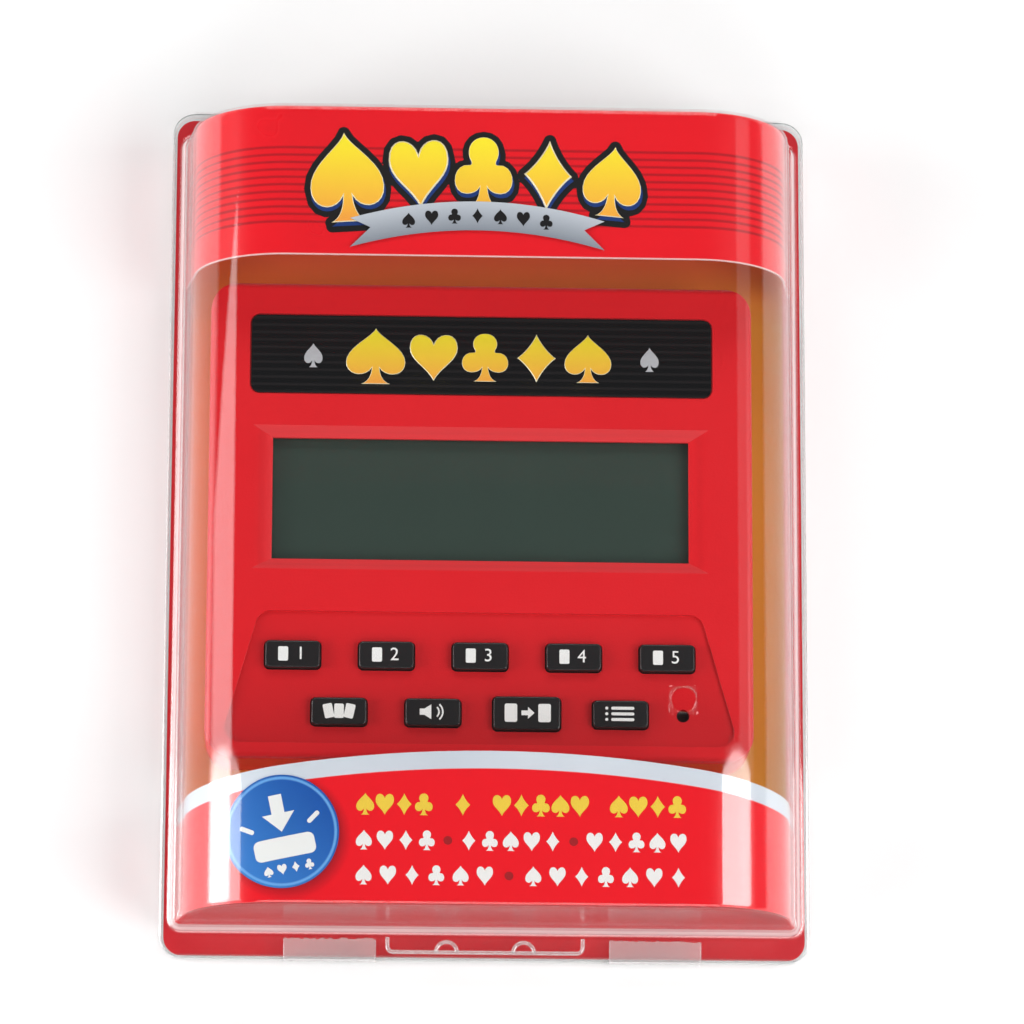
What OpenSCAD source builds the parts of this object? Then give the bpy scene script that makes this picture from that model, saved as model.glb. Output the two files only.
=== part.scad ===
// Handheld video poker machine in its clear, hinged display pack.
// The pack lies on its back. X is to the right, Y is towards the pack's top edge
// and Z comes out of the front. All sizes are in millimetres.

/* [Machine] */
// Width of the machine's housing
machine_w = 109.5; // [109:0.5:140]
// Height of the machine's housing
machine_h = 98; // [98:0.5:130]
// Depth of the machine from its rear face to its front face
machine_d = 14.5; // [14.5:0.1:20]
// Radius of the housing's upright corners
machine_corner = 6; // [5:0.5:8]
// Radius of the housing's front and rear edges
machine_edge = 1.4; // [0.8:0.1:2]
// Thickness of the housing's side walls and rear wall
wall_t = 1.6; // [1.2:0.1:2]
// Thickness of the housing's front wall
face_t = 2; // [1.8:0.1:2.4]
// Height of the seam between the two housing halves above the rear face
seam_h = 6; // [5:0.5:7]

/* [Name plate] */
// Width of the name plate
plate_w = 93; // [60:0.5:95]
// Height of the name plate
plate_h = 16.2; // [12:0.1:17]
// Thickness of the name plate
plate_t = 0.5; // [0.3:0.1:0.7]
// Distance from the housing's top edge to the name plate
plate_margin = 6.8; // [5:0.1:8]

/* [Screen] */
// Width of the screen's window
window_w = 83.8; // [70:0.2:86]
// Height of the screen's window
window_h = 25; // [18:0.2:26]
// Width of the sloping surround at the window's sides
surround_x = 4; // [2:0.2:4.4]
// Width of the sloping surround above and below the window
surround_y = 2.3; // [1.4:0.1:2.8]
// Depth of the sloping surround
surround_d = 1.3; // [0.8:0.1:1.4]

/* [Keys] */
// Distance between neighbouring keys in a row
key_pitch = 18.7; // [16.5:0.1:19]
// Distance between the two rows of keys
row_pitch = 11.5; // [10.5:0.1:13]
// Width of a key
key_w = 11; // [9:0.1:12]
// Height of a key
key_h = 5.5; // [5:0.1:6.4]
// Width of the deal key
deal_w = 13.4; // [11:0.1:14]
// Height of the deal key
deal_h = 6.7; // [5.5:0.1:7.4]
// Height of a key above the key panel
key_rise = 1.5; // [1.2:0.1:2]
// Travel of a key
key_travel = 0.9; // [0.6:0.1:1]
// Gap all round a key in its opening
key_gap = 0.25; // [0.15:0.05:0.35]

/* [Display pack] */
// Gap between the machine's side and the outside of the dome
dome_side = 6.25; // [5:0.25:10]
// Height of the dome above the machine's top edge
header_zone = 33.4; // [28:0.1:44]
// Height of the dome below the machine's bottom edge
lower_zone = 32.1; // [28:0.1:44]
// Height of the dome's front above the machine's face
dome_gap = 16; // [12:0.5:24]
// Radius of the dome's long front corners
dome_corner = 20; // [12:1:22]
// Lean of the dome's long side walls, in degrees
dome_lean = 10; // [0:1:12]
// Width of the pack's rim beside the dome
rim_side = 4; // [3:0.5:7]
// Width of the pack's rim above and below the dome
rim_end = 6; // [6:0.5:10]
// Thickness of the formed clear sheet
sheet_t = 0.5; // [0.4:0.1:0.7]
// Thickness of the printed cards
card_t = 0.4; // [0.3:0.1:0.5]
// Diameter of the round sticker
sticker_d = 22.4; // [16:0.2:24]
// Diameter of the hole in the dome over the reset button
access_d = 4.8; // [4:0.2:6]

/* [Hidden] */
$fn = 48;
eps = 0.01;                      // overlap that makes a cut pass clean through
slip = 0.05;                     // clearance between pieces that lie against each other
cut = 200;                       // longer than any piece, for cuts through it

// Heights in the pack, from the surface that it lies on
back_wall_h = 3;                 // outer wall of the pack's back half
foot_t = 0.8;
foot_r = 3.5;
foot_x = 14;                     // feet from the machine's edges
foot_y = 7;
card_z = sheet_t + slip;         // underside of the back card
foot_z = card_z + card_t + slip;
rear_z = foot_z + foot_t;        // rear face of the machine
face_z = rear_z + machine_d;     // front face of the machine
seam_z = rear_z + seam_h;
floor_z = rear_z + wall_t;       // inside of the rear wall
face_in = face_z - face_t;       // inside of the front wall
flange_z = back_wall_h + slip;   // underside of the front half's rim
dome_z = face_z + dome_gap;      // outside of the dome's front

// Pack outline
dome_w = machine_w + 2 * dome_side;
dome_h = machine_h + header_zone + lower_zone;
pack_w = dome_w + 2 * rim_side;
pack_h = dome_h + 2 * rim_end;
pack_corner = 4.5;
machine_x = -1.7;                // the machine sits a little left of the middle
machine_y = (lower_zone - header_zone) / 2;
hinge_z = flange_z + sheet_t / 2;
web_t = 0.35;                    // the hinge's web of sheet
web_z = 1;                       // its lower edge

// Layout of the machine's face, from the housing's centre
plate_corner = 1.8;
plate_gap = 0.25;                // gap all round the name plate
plate_y = machine_h / 2 - plate_margin - plate_h / 2;
panel_margin_y = 3.2;            // housing edge to key panel, at the bottom
panel_margin_x = 3;              // housing edge to key panel, at its widest
panel_lean = 7.6;                // how much narrower the panel is at its top, each side
panel_above = 9;                 // panel above the upper row's centres
panel_below = 6.35;              // panel below the lower row's centres
panel_recess = 0.6;
panel_corner = 3;
row_low = -machine_h / 2 + panel_margin_y + panel_below;
row_high = row_low + row_pitch;
panel_top = row_high + panel_above;
panel_bottom = row_low - panel_below;
panel_z = face_z - panel_recess;
screen_rise = 0.9;               // window above the middle of its space
screen_y = (panel_top + plate_y - plate_h / 2) / 2 + screen_rise;
reset_x = 2.17 * key_pitch;
reset_hole_d = 2.6;
access_shift = 1.1;              // the dome's hole is left of the reset button by this much

// Keys: name, centre and size
key_corner = 0.9;
key_edge = 0.35;
stem_corner = 0.6;
key_flange = 0.8;                // width of the lip that keeps a key in the housing
flange_t = 0.8;
KEYS = concat(
    [for (i = [0:4]) [str("key_hold_", i + 1), [(i - 2) * key_pitch, row_high], [key_w, key_h]]],
    [["key_game", [-1.5 * key_pitch, row_low], [key_w, key_h]],
     ["key_sound", [-0.5 * key_pitch, row_low], [key_w, key_h]],
     ["key_deal", [0.5 * key_pitch, row_low], [deal_w, deal_h]],
     ["key_score", [1.5 * key_pitch, row_low], [key_w, key_h]]]
);
key_top = panel_z + key_rise;
lip_top = face_in - slip;
lip_bottom = lip_top - flange_t;

// Screen stack, hanging from the inside of the front wall
lens_t = 1;
film_t = 0.2;
glass_t = 2;
glass_border = 3;                // glass beyond the window, each side
frame_wall = 2;
frame_corner = 1.5;
frame_fit = 0.15;                // gap round the glass, in its frame
film_border = 0.5;               // glass beyond its films, each side
polariser_border = 2;            // and above and below the front film
strip_border = 3;                // glass beyond the contact strips, at their ends
strip_edge = 0.2;
lens_z = face_in - slip - lens_t;
polariser_z = lens_z - slip - film_t;
glass_z = polariser_z - glass_t;
reflector_z = glass_z - film_t;
glass_w = window_w + 2 * glass_border;
glass_h = window_h + 2 * glass_border;
strip_w = 1.8;
strip_gap = 0.9;                 // room for the contact strips between glass and board

// Circuit board
board_t = 1.6;
board_top = glass_z - strip_gap;
board_z = board_top - board_t;
board_w = machine_w - 2 * wall_t - 2;
mat_t = 0.8;
mat_margin = 4;
dome_r = 2.2;                    // rubber dome under each key
dome_top_r = 1.6;
dome_low_h = 0.55;               // a rubber dome's height when its key is pressed
stem_z = board_top + mat_t + dome_low_h + key_travel + slip;    // foot of a key's stem

// Battery bay, at the top of the rear housing
cell_r = 5.2;
cell_l = 43.6;
cell_nub = 0.9;
cell_pitch = 10.6;
spring_l = 3.4;
spring_r1 = 3.4;
spring_r2 = 2;
nub_r = 1.9;
contact_gap = 0.1;               // between a contact and the bay's end wall
contact_less = 1.6;              // a contact is smaller than a cell by this much
contact_t = 0.4;
bay_wall = 1;
bay_play = 0.6;                  // spare room in the bay, along and across the cells
bay_w = cell_l + cell_nub + spring_l + 2 * contact_t + bay_play;
bay_h = cell_pitch + 2 * cell_r + bay_play;
bay_y = machine_h / 2 - wall_t - 0.2 - bay_wall - bay_h / 2;
bay_bottom = bay_y - bay_h / 2 - bay_wall;
bay_top_z = face_in - 0.3;
cell_z = floor_z + 0.2 + cell_r;
door_gap = 0.2;
door_corner = 1.5;
door_lug_r = 3.4;
door_lug_y = bay_bottom - 2.6;
door_screw_l = 4;
post_gap = 0.8;                  // between the door screw's post and the board
door_inset_x = 1;                // bay beyond the door, each side
door_inset_y = 0.5;
rib_w = 16;                      // grip ribs on the battery door
rib_t = 0.7;
rib_pitch = 1.8;
rib_rise = 0.25;
bay_corner = 0.6;

// Fasteners
screw_d = 2;
screw_fit = 0.05;                // pilot hole over screw, on the diameter
screw_head_d = 4;
screw_head_t = 1.5;
boss_r = 3;
tower_gap = 0.1;
boss_z = seam_z + 0.2;
screw_x = 6.2;                   // housing screws from the machine's edges
screw_y = 6;
SCREWS = [for (sx = [-1, 1], sy = [-1, 1])
    [sx * (machine_w / 2 - screw_x), sy * (machine_h / 2 - screw_y)]];
board_boss_r = 2.2;
board_screw_d = 1.6;
board_head_d = 3;
board_head_t = 1;
pilot_l = 5;                     // pilot holes in the housing's towers and in the board's bosses
board_pilot_l = 3;
pilot_spare = 0.6;               // pilot hole beyond a screw's tip
screw_clear = 0.6;               // clearance on the diameter, in the rear housing
head_clear = 0.5;
head_deep = 0.3;                 // a housing screw's head below the rear face
door_head_t = 0.8;
hole_fit = 0.3;                  // gap all round a boss that passes through the rubber mat
board_bottom = -machine_h / 2 + wall_t + 0.8;
board_high = bay_bottom - 0.5;
board_y = (board_bottom + board_high) / 2;
BOARD_SCREWS = [for (sx = [-1, 1], y = [row_low + row_pitch / 2, screen_y])
    [sx * (machine_w / 2 - wall_t - board_boss_r - 0.4), y]];

// Cards inside the dome
card_gap = 0.3;                  // between a card and the dome's inside
header_lift = 1.65;              // header card's lower edge above the machine's top edge
swoosh_r = 260;                  // radius of the lower card's curved top edge
swoosh_drop = 0.95;              // its crown below the machine's bottom edge
header_bottom = machine_y + machine_h / 2 + header_lift;
swoosh_y = machine_y - machine_h / 2 - swoosh_drop;
sticker_x = -dome_w / 2 + 20.2;
sticker_y = -dome_h / 2 + 14.7;
sticker_t = 0.2;
tape_w = 18.5;
tape_t = 0.12;
tape_short = 0.6;                // bare rim beyond the tape's end
tape_low = 0.4;                  // the tape's lower end above the pack's rear
tape_left_x = -31;
tape_right_x = 34;
notch_w = 39.6;
notch_h = 4.4;
notch_corner = 1.2;
notch_y = -pack_h / 2 + 1.4 + notch_h / 2;
bead_r = 0.55;
wall_meet = 4;                   // angle between a long corner's arc and its wall, where they meet
detent_r = 2.1;
detent_x = 7.7;

// Buzzer and the small parts on the board's rear side
buzzer_r = 10;
buzzer_x = 30;
buzzer_y = board_y - 6;
buzzer_t = 0.5;
buzzer_fit = 0.2;                // gap round the disc, in its ring
buzzer_ring_t = 1;
buzzer_ring_h = 1.4;
sound_r = 4;                     // ring of sound holes under the buzzer
sound_d = 1.6;
blob_r = 7;
blob_h = 1.8;
blob_ball = 16;
blob_x = -12;
blob_drop = 6;                   // the chip and the parts beside it, below the screen's middle
crystal_x = 10;
crystal_drop = 4;
crystal_r = 1.5;
crystal_l = 6;
crystal_lead_d = 0.4;
capacitor_x = 7;
capacitor_drop = 14;
capacitor_r = 2.2;
capacitor_l = 8;
lead_d = 0.5;
lead_l = 2.4;                    // leads of the crystal and the capacitor
resistor_x = -38;                // the first resistor; they stand above the upper key row
resistor_rise = 5;
resistor_pitch = 5;
resistor_r = 0.9;
resistor_l = 3.6;
resistor_span = 7;               // length over the leads
part_gap = 0.1;                  // between a round part and the board
switch_w = 4.6;
switch_h = 1.6;
switch_floor = 0.5;
button_r = 1.05;
button_gap = 0.4;                // under the reset button, before it is pressed
button_top = 2.8;                // its top above the board
wire_d = 0.9;
battery_wire_d = 1.1;

// ---------- helpers ----------

function unit(v) = v / norm(v);

// Points of the arc that rounds corner p between its neighbours a and b
function corner(p, a, b, r, n) =
    let (u = unit(a - p), v = unit(b - p), half = acos(u * v) / 2,
         c = p + unit(u + v) * r / sin(half),
         s = p + u * r / tan(half) - c, e = p + v * r / tan(half) - c,
         a0 = atan2(s[1], s[0]), turn = atan2(s[0] * e[1] - s[1] * e[0], s * e))
    [for (i = [0:n]) c + r * [cos(a0 + turn * i / n), sin(a0 + turn * i / n)]];

function rounded(points, r, n = 6) =
    let (k = len(points))
    [for (i = [0:k - 1]) each corner(points[i], points[(i + k - 1) % k], points[(i + 1) % k], r, n)];

module round_rect(w, h, r) {
    square([w - 2 * r, h], center = true);
    square([w, h - 2 * r], center = true);
    for (sx = [-1, 1], sy = [-1, 1])
        translate([sx * (w / 2 - r), sy * (h / 2 - r)]) circle(r);
}

module slab(w, h, z0, z1, r) {
    translate([0, 0, z0]) linear_extrude(z1 - z0) round_rect(w, h, r);
}

// Section of a block t high whose two far edges are rounded
module eased_section(w, t, edge) {
    translate([-w / 2, 0]) square([w, t - edge]);
    translate([-w / 2 + edge, 0]) square([w - 2 * edge, t]);
    for (s = [-1, 1]) translate([s * (w / 2 - edge), t - edge]) circle(edge);
}

// A slab whose far edges are rounded: it starts at z = 0 and ends at z = t
module eased_slab(w, h, t, r, edge) intersection() {
    linear_extrude(t) round_rect(w, h, r);
    translate([0, h, 0]) rotate([90, 0, 0]) linear_extrude(2 * h) eased_section(w, t, edge);
    translate([-w, 0, 0]) rotate([90, 0, 90]) linear_extrude(2 * w) eased_section(h, t, edge);
}

// Everything that is placed from the middle of the machine
module on_machine() {
    translate([machine_x, machine_y, 0]) children();
}

// Directions along a route, and side vectors that follow on from each other without a twist
function tangent(route, i) = unit(route[min(i + 1, len(route) - 1)] - route[max(i - 1, 0)]);
function side_vectors(route, i = 0, last = [0, 1, 0]) = i == len(route) ? [] :
    let (t = tangent(route, i), side = unit(last - (last * t) * t))
    concat([side], side_vectors(route, i + 1, side));

// A tube along a route
module tube(route, d, sides = 8) {
    rings = len(route);
    side = side_vectors(route);
    points = [for (i = [0:rings - 1], j = [0:sides - 1])
        let (a = 360 * j / sides)
        route[i] + d / 2 * (cos(a) * side[i] + sin(a) * cross(tangent(route, i), side[i]))];
    wall = [for (i = [0:rings - 2], j = [0:sides - 1])
        let (k = (j + 1) % sides)
        [i * sides + j, i * sides + k, (i + 1) * sides + k, (i + 1) * sides + j]];
    start = [for (j = [0:sides - 1]) sides - 1 - j];
    end = [for (j = [0:sides - 1]) (rings - 1) * sides + j];
    polyhedron(points, concat(wall, [start, end]));
}

// Smooth route through hand-set points, by Catmull-Rom
function smooth(p, steps = 4) =
    let (k = len(p) - 1)
    concat([for (i = [0:k - 1], s = [0:steps - 1])
        let (u = s / steps, a = p[max(i - 1, 0)], b = p[i], c = p[i + 1], d = p[min(i + 2, k)])
        0.5 * (2 * b + (c - a) * u + (2 * a - 5 * b + 4 * c - d) * u * u
               + (3 * b - a - 3 * c + d) * u * u * u)], [p[k]]);

// ---------- display pack ----------

// Section of the dome across the pack, inset from its outside by d
module dome_section(d) {
    r = dome_corner - d;
    x = dome_w / 2 - dome_corner;    // the middle of a long corner
    z = dome_z - dome_corner;
    wall_x = x + r * cos(wall_meet) * cos(dome_lean);   // top of the leaning wall, just inside the arc
    wall_top = z + r * cos(wall_meet) * sin(dome_lean);
    foot_x = wall_x + (wall_top - flange_z) * tan(dome_lean);
    intersection() {
        union() {
            polygon([[-foot_x, flange_z], [foot_x, flange_z], [wall_x, wall_top],
                     [x, z], [-x, z], [-wall_x, wall_top]]);
            translate([-x, flange_z]) square([2 * x, z + r - flange_z]);
            for (s = [-1, 1]) translate([s * x, z]) circle(r, $fn = 96);
        }
        translate([-cut / 2, flange_z]) square([cut, z + r - flange_z]);
    }
}

// The dome's solid inset by d, between two heights on the pack
module dome_solid(d, y0, y1) {
    translate([0, y1, 0]) rotate([90, 0, 0]) linear_extrude(y1 - y0) dome_section(d);
}

module clamshell_back() color([0.85, 0.9, 0.92, 0.4]) difference() {
    slab(pack_w, pack_h, 0, back_wall_h, pack_corner);
    slab(pack_w - 2 * sheet_t, pack_h - 2 * sheet_t, sheet_t, back_wall_h + 1, pack_corner - sheet_t);
}

module living_hinge() color([0.85, 0.9, 0.92, 0.4])
    translate([-pack_w / 2 + pack_corner, pack_h / 2 + slip, web_z])
        cube([pack_w - 2 * pack_corner, web_t, hinge_z - sheet_t - web_z]);

module back_card() color([0.9, 0.55, 0.15])
    slab(pack_w - 2 * (sheet_t + card_gap), pack_h - 2 * (sheet_t + card_gap),
         card_z, card_z + card_t, pack_corner - sheet_t - card_gap);

// Raised border of the thumb notch, with its two detents
module notch_bead() {
    translate([0, notch_y, flange_z + sheet_t - eps]) {
        linear_extrude(bead_r + eps) difference() {
            round_rect(notch_w, notch_h, notch_corner);
            translate([0, bead_r]) round_rect(notch_w - 2 * bead_r, notch_h, notch_corner - bead_r);
        }
        for (s = [-1, 1]) translate([s * detent_x, -notch_h / 2 + bead_r / 2, 0])
            intersection() {
                cylinder(r = detent_r, h = bead_r + eps);
                translate([-detent_r, 0, 0]) cube([2 * detent_r, detent_r, bead_r + eps]);
            }
    }
}

module clamshell_front() color([0.9, 0.95, 1, 0.25]) difference() {
    union() {
        slab(pack_w, pack_h, flange_z, flange_z + sheet_t, pack_corner);
        dome_solid(0, -dome_h / 2, dome_h / 2);
        notch_bead();
    }
    translate([0, 0, -1]) dome_solid(sheet_t, -dome_h / 2 + sheet_t, dome_h / 2 - sheet_t);
    dome_solid(sheet_t, -dome_h / 2 + sheet_t, dome_h / 2 - sheet_t);
    translate([machine_x + reset_x - access_shift, machine_y + row_low, dome_z - 2 * sheet_t])
        cylinder(d = access_d, h = 4 * sheet_t);
}

// A card bent round inside the dome, between two heights
module bent_card(y0, y1) difference() {
    dome_solid(sheet_t + card_gap, y0, y1);
    translate([0, 0, -eps]) dome_solid(sheet_t + card_gap + card_t, y0 - 1, y1 + 1);
    translate([-cut / 2, y0 - 1, flange_z - 2]) cube([cut, y1 - y0 + 2, 2 + sheet_t + slip]);
}

module header_card() color("crimson")
    bent_card(header_bottom, dome_h / 2 - sheet_t - card_gap);

module lower_card() color("crimson") intersection() {
    bent_card(-dome_h / 2 + sheet_t + card_gap, swoosh_y);
    translate([0, swoosh_y - swoosh_r, 0]) cylinder(r = swoosh_r, h = dome_z, $fn = 240);
}

module round_sticker() color("royalblue") intersection() {
    difference() {
        dome_solid(sheet_t + card_gap - sticker_t, sticker_y - sticker_d, sticker_y + sticker_d);
        dome_solid(sheet_t + card_gap, sticker_y - sticker_d - 1, sticker_y + sticker_d + 1);
    }
    translate([sticker_x, sticker_y, dome_z / 2]) cylinder(d = sticker_d, h = dome_z);
}

// Clear tape that seals the rim's bottom edge
module seal_tape(x) color([0.95, 0.95, 0.95, 0.5]) translate([x - tape_w / 2, -pack_h / 2, 0]) {
    translate([0, -tape_t, flange_z + sheet_t + slip / 2])
        cube([tape_w, rim_end - tape_short + tape_t, tape_t]);
    translate([0, -tape_t - slip, tape_low])
        cube([tape_w, tape_t, flange_z + sheet_t + slip / 2 + tape_t - tape_low]);
}

module seal_tape_left() seal_tape(tape_left_x);
module seal_tape_right() seal_tape(tape_right_x);

// ---------- housing ----------

// Sloping surround of the screen and the window in it
module screen_cut() translate([0, screen_y, 0]) {
    hull() {
        translate([0, 0, face_z + 1]) linear_extrude(eps)
            square([window_w + 2 * surround_x * (1 + 1 / surround_d),
                    window_h + 2 * surround_y * (1 + 1 / surround_d)], center = true);
        translate([0, 0, face_z - surround_d]) linear_extrude(eps)
            square([window_w, window_h], center = true);
    }
    translate([0, 0, face_in - 1]) linear_extrude(face_t) square([window_w, window_h], center = true);
}

module panel_outline() {
    low = machine_w / 2 - panel_margin_x;
    high = low - panel_lean;
    polygon(rounded([[-high, panel_top], [high, panel_top], [low, panel_bottom], [-low, panel_bottom]],
                    panel_corner));
}

module key_openings() {
    for (k = KEYS) translate(k[1])
        slab(k[2][0] + 2 * key_gap, k[2][1] + 2 * key_gap, face_in - 1, face_z + 1, key_corner + key_gap);
}

module front_housing() color("red") on_machine() {
    difference() {
        translate([0, 0, seam_z])
            eased_slab(machine_w, machine_h, face_z - seam_z, machine_corner, machine_edge);
        slab(machine_w - 2 * wall_t, machine_h - 2 * wall_t, seam_z - 1, face_in, machine_corner - wall_t);
        translate([0, plate_y, face_z - plate_t]) linear_extrude(plate_t + 1)
            round_rect(plate_w + 2 * plate_gap, plate_h + 2 * plate_gap, plate_corner + plate_gap);
        screen_cut();
        translate([0, 0, panel_z]) linear_extrude(2) panel_outline();
        key_openings();
        translate([reset_x, row_low, face_in - 1]) cylinder(d = reset_hole_d, h = face_t + 2);
    }
    for (p = SCREWS) translate([p[0], p[1], boss_z]) difference() {
        cylinder(r = boss_r, h = face_in - boss_z + eps);
        translate([0, 0, -1]) cylinder(d = screw_d + screw_fit, h = pilot_l + 1);
    }
    for (p = BOARD_SCREWS) translate([p[0], p[1], board_top + slip]) difference() {
        cylinder(r = board_boss_r, h = face_in - board_top - slip + eps);
        translate([0, 0, -1]) cylinder(d = board_screw_d + screw_fit, h = board_pilot_l + 1);
    }
}

// Outline of the battery door, grown by d all round
module door_outline(d) {
    translate([0, bay_y])
        round_rect(bay_w - 2 * (door_inset_x - d), bay_h - 2 * (door_inset_y - d), door_corner + d);
    translate([0, door_lug_y]) circle(door_lug_r + d);
    translate([-door_lug_r - d, door_lug_y]) square([2 * (door_lug_r + d), bay_y - door_lug_y]);
}

module rear_housing() color("red") on_machine() difference() {
    union() {
        difference() {
            translate([0, 0, seam_z - slip]) mirror([0, 0, 1])
                eased_slab(machine_w, machine_h, seam_h - slip, machine_corner, machine_edge);
            slab(machine_w - 2 * wall_t, machine_h - 2 * wall_t, floor_z, seam_z + 1,
                 machine_corner - wall_t);
        }
        for (p = SCREWS) translate([p[0], p[1], floor_z - eps])
            cylinder(r = boss_r, h = boss_z - tower_gap - floor_z + eps);
        translate([0, bay_y, 0])
            slab(bay_w + 2 * bay_wall, bay_h + 2 * bay_wall, floor_z - eps, bay_top_z, bay_wall);
        translate([0, door_lug_y, floor_z - eps])
            cylinder(r = door_lug_r, h = board_z - post_gap - floor_z);
        translate([buzzer_x, buzzer_y, floor_z - eps]) difference() {
            cylinder(r = buzzer_r + buzzer_fit + buzzer_ring_t, h = buzzer_ring_h);
            cylinder(r = buzzer_r + buzzer_fit, h = 2 * buzzer_ring_h);
        }
    }
    translate([0, bay_y, 0]) slab(bay_w, bay_h, floor_z, bay_top_z + 1, bay_corner);
    translate([0, 0, rear_z - 1]) linear_extrude(wall_t + 1) door_outline(door_gap);
    translate([0, door_lug_y, floor_z - 1]) cylinder(d = screw_d + screw_fit, h = door_screw_l + 0.4);
    for (p = SCREWS) translate([p[0], p[1], rear_z - 1]) {
        cylinder(d = screw_d + screw_clear, h = seam_h + 3);
        cylinder(d = screw_head_d + head_clear, h = 1 + screw_head_t + head_deep);
    }
    for (i = [0:6]) translate([buzzer_x, buzzer_y, rear_z - 1])
        rotate(60 * i) translate([i == 6 ? 0 : sound_r, 0, 0]) cylinder(d = sound_d, h = wall_t + 2);
}

module battery_door() color("red") on_machine() difference() {
    union() {
        translate([0, 0, rear_z]) linear_extrude(wall_t - slip) door_outline(0);
        for (i = [-2:2]) translate([-rib_w / 2, bay_y + 5 + rib_pitch * i, rear_z - rib_rise])
            cube([rib_w, rib_t, 2 * rib_rise]);
    }
    translate([0, door_lug_y, rear_z - 1]) {
        cylinder(d = screw_d + screw_clear / 2, h = wall_t + 2);
        cylinder(d = screw_head_d + screw_clear / 2, h = 1 + door_head_t);
    }
}

module name_plate() color("black") on_machine() translate([0, plate_y, 0])
    slab(plate_w, plate_h, face_z - plate_t + slip / 2, face_z - slip, plate_corner);

// ---------- screen ----------

module screen_sheet(w, h, z, t) {
    on_machine() translate([-w / 2, screen_y - h / 2, z]) cube([w, h, t]);
}

module lcd_lens() color([0.9, 0.95, 0.95, 0.3])
    screen_sheet(glass_w, glass_h, lens_z, lens_t);

module lcd_polariser() color([0.35, 0.42, 0.38])
    screen_sheet(glass_w - 2 * film_border, glass_h - 2 * polariser_border, polariser_z, film_t);

module lcd_glass() color([0.6, 0.7, 0.65, 0.6])
    screen_sheet(glass_w, glass_h, glass_z, glass_t);

module lcd_reflector() color("silver")
    screen_sheet(glass_w - 2 * film_border, glass_h - 2 * (strip_w + strip_edge + slip),
                 reflector_z, film_t);

module lcd_frame() color("dimgray") on_machine() translate([0, screen_y, 0]) difference() {
    slab(glass_w + 2 * frame_wall, glass_h + 2 * frame_wall, board_top + slip, lens_z + lens_t,
         frame_corner);
    translate([0, 0, board_top - 1])
        linear_extrude(machine_d) square([glass_w + 2 * frame_fit, glass_h + 2 * frame_fit], center = true);
}

module contact_strips() color("gray") on_machine()
    for (s = [-1, 1]) translate([0, screen_y + s * (glass_h / 2 - strip_w / 2 - strip_edge), board_top])
        linear_extrude(strip_gap) square([glass_w - 2 * strip_border, strip_w], center = true);

// ---------- keys ----------

module key(i) color([0.13, 0.12, 0.13]) on_machine() translate(KEYS[i][1]) {
    w = KEYS[i][2][0];
    h = KEYS[i][2][1];
    translate([0, 0, lip_top - eps]) eased_slab(w, h, key_top - lip_top + eps, key_corner, key_edge);
    slab(w + 2 * key_flange, h + 2 * key_flange, lip_bottom, lip_top, key_corner);
    slab(w / 2, h / 2, stem_z + slip, lip_bottom + eps, stem_corner);
}

module keypad_mat() color("gainsboro") on_machine() {
    low = row_low - mat_margin;
    high = row_high + mat_margin;
    w = 4 * key_pitch + key_w + 2 * mat_margin;
    difference() {
        translate([-w / 2, low, board_top]) cube([w, high - low, mat_t]);
        translate([reset_x, row_low, board_top - 1]) cylinder(r = switch_w, h = mat_t + 2);
        for (p = BOARD_SCREWS) translate([p[0], p[1], board_top - 1])
            cylinder(r = board_boss_r + hole_fit, h = mat_t + 2);
        for (p = SCREWS) translate([p[0], p[1], board_top - 1])
            cylinder(r = boss_r + hole_fit, h = mat_t + 2);
    }
    for (k = KEYS) translate([k[1][0], k[1][1], board_top + mat_t - eps])
        cylinder(r1 = dome_r, r2 = dome_top_r, h = dome_low_h + eps, $fn = 24);
}

// ---------- electronics ----------

module circuit_board() color([0.1, 0.35, 0.2]) on_machine() difference() {
    translate([0, board_y, 0])
        slab(board_w, board_high - board_bottom, board_z, board_top - slip, machine_corner - wall_t);
    for (p = SCREWS) translate([p[0], p[1], board_z - 1]) cylinder(r = boss_r + 0.5, h = board_t + 2);
    for (p = BOARD_SCREWS) translate([p[0], p[1], board_z - 1])
        cylinder(d = board_screw_d + 0.4, h = board_t + 2);
}

module chip_blob() color([0.08, 0.08, 0.08]) on_machine()
    translate([blob_x, screen_y - blob_drop, board_z - slip]) mirror([0, 0, 1]) intersection() {
        cylinder(r = blob_r, h = blob_h);
        translate([0, 0, blob_h - blob_ball]) sphere(r = blob_ball, $fn = 120);
    }

module crystal() color("silver") on_machine()
    translate([crystal_x, screen_y - crystal_drop, board_z - slip - crystal_r - part_gap])
        rotate([0, 90, 0]) {
            cylinder(r = crystal_r, h = crystal_l, center = true);
            for (s = [-1, 1]) translate([0, s * 0.5, crystal_l / 2 - eps])
                cylinder(d = crystal_lead_d, h = lead_l + eps);
        }

module capacitor() color("midnightblue") on_machine()
    translate([capacitor_x, screen_y - capacitor_drop, board_z - slip - capacitor_r - part_gap])
        rotate([0, 90, 0]) {
            cylinder(r = capacitor_r, h = capacitor_l);
            for (s = [-1, 1]) translate([0, s, -lead_l]) cylinder(d = lead_d, h = lead_l + eps);
        }

module resistors() color("tan") on_machine()
    translate([resistor_x, row_high + resistor_rise, board_z - slip - resistor_r - part_gap])
        for (i = [0:4]) translate([i * resistor_pitch, 0, 0])
            rotate([90, 0, 0]) {
                cylinder(r = resistor_r, h = resistor_l, center = true);
                cylinder(d = lead_d, h = resistor_span, center = true);
            }

module reset_switch() color("dimgray") on_machine() translate([reset_x, row_low, board_top]) difference() {
    translate([-switch_w / 2, -switch_w / 2, 0]) cube([switch_w, switch_w, switch_h]);
    translate([0, 0, switch_floor]) cylinder(r = button_r + slip, h = switch_h);
}

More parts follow.
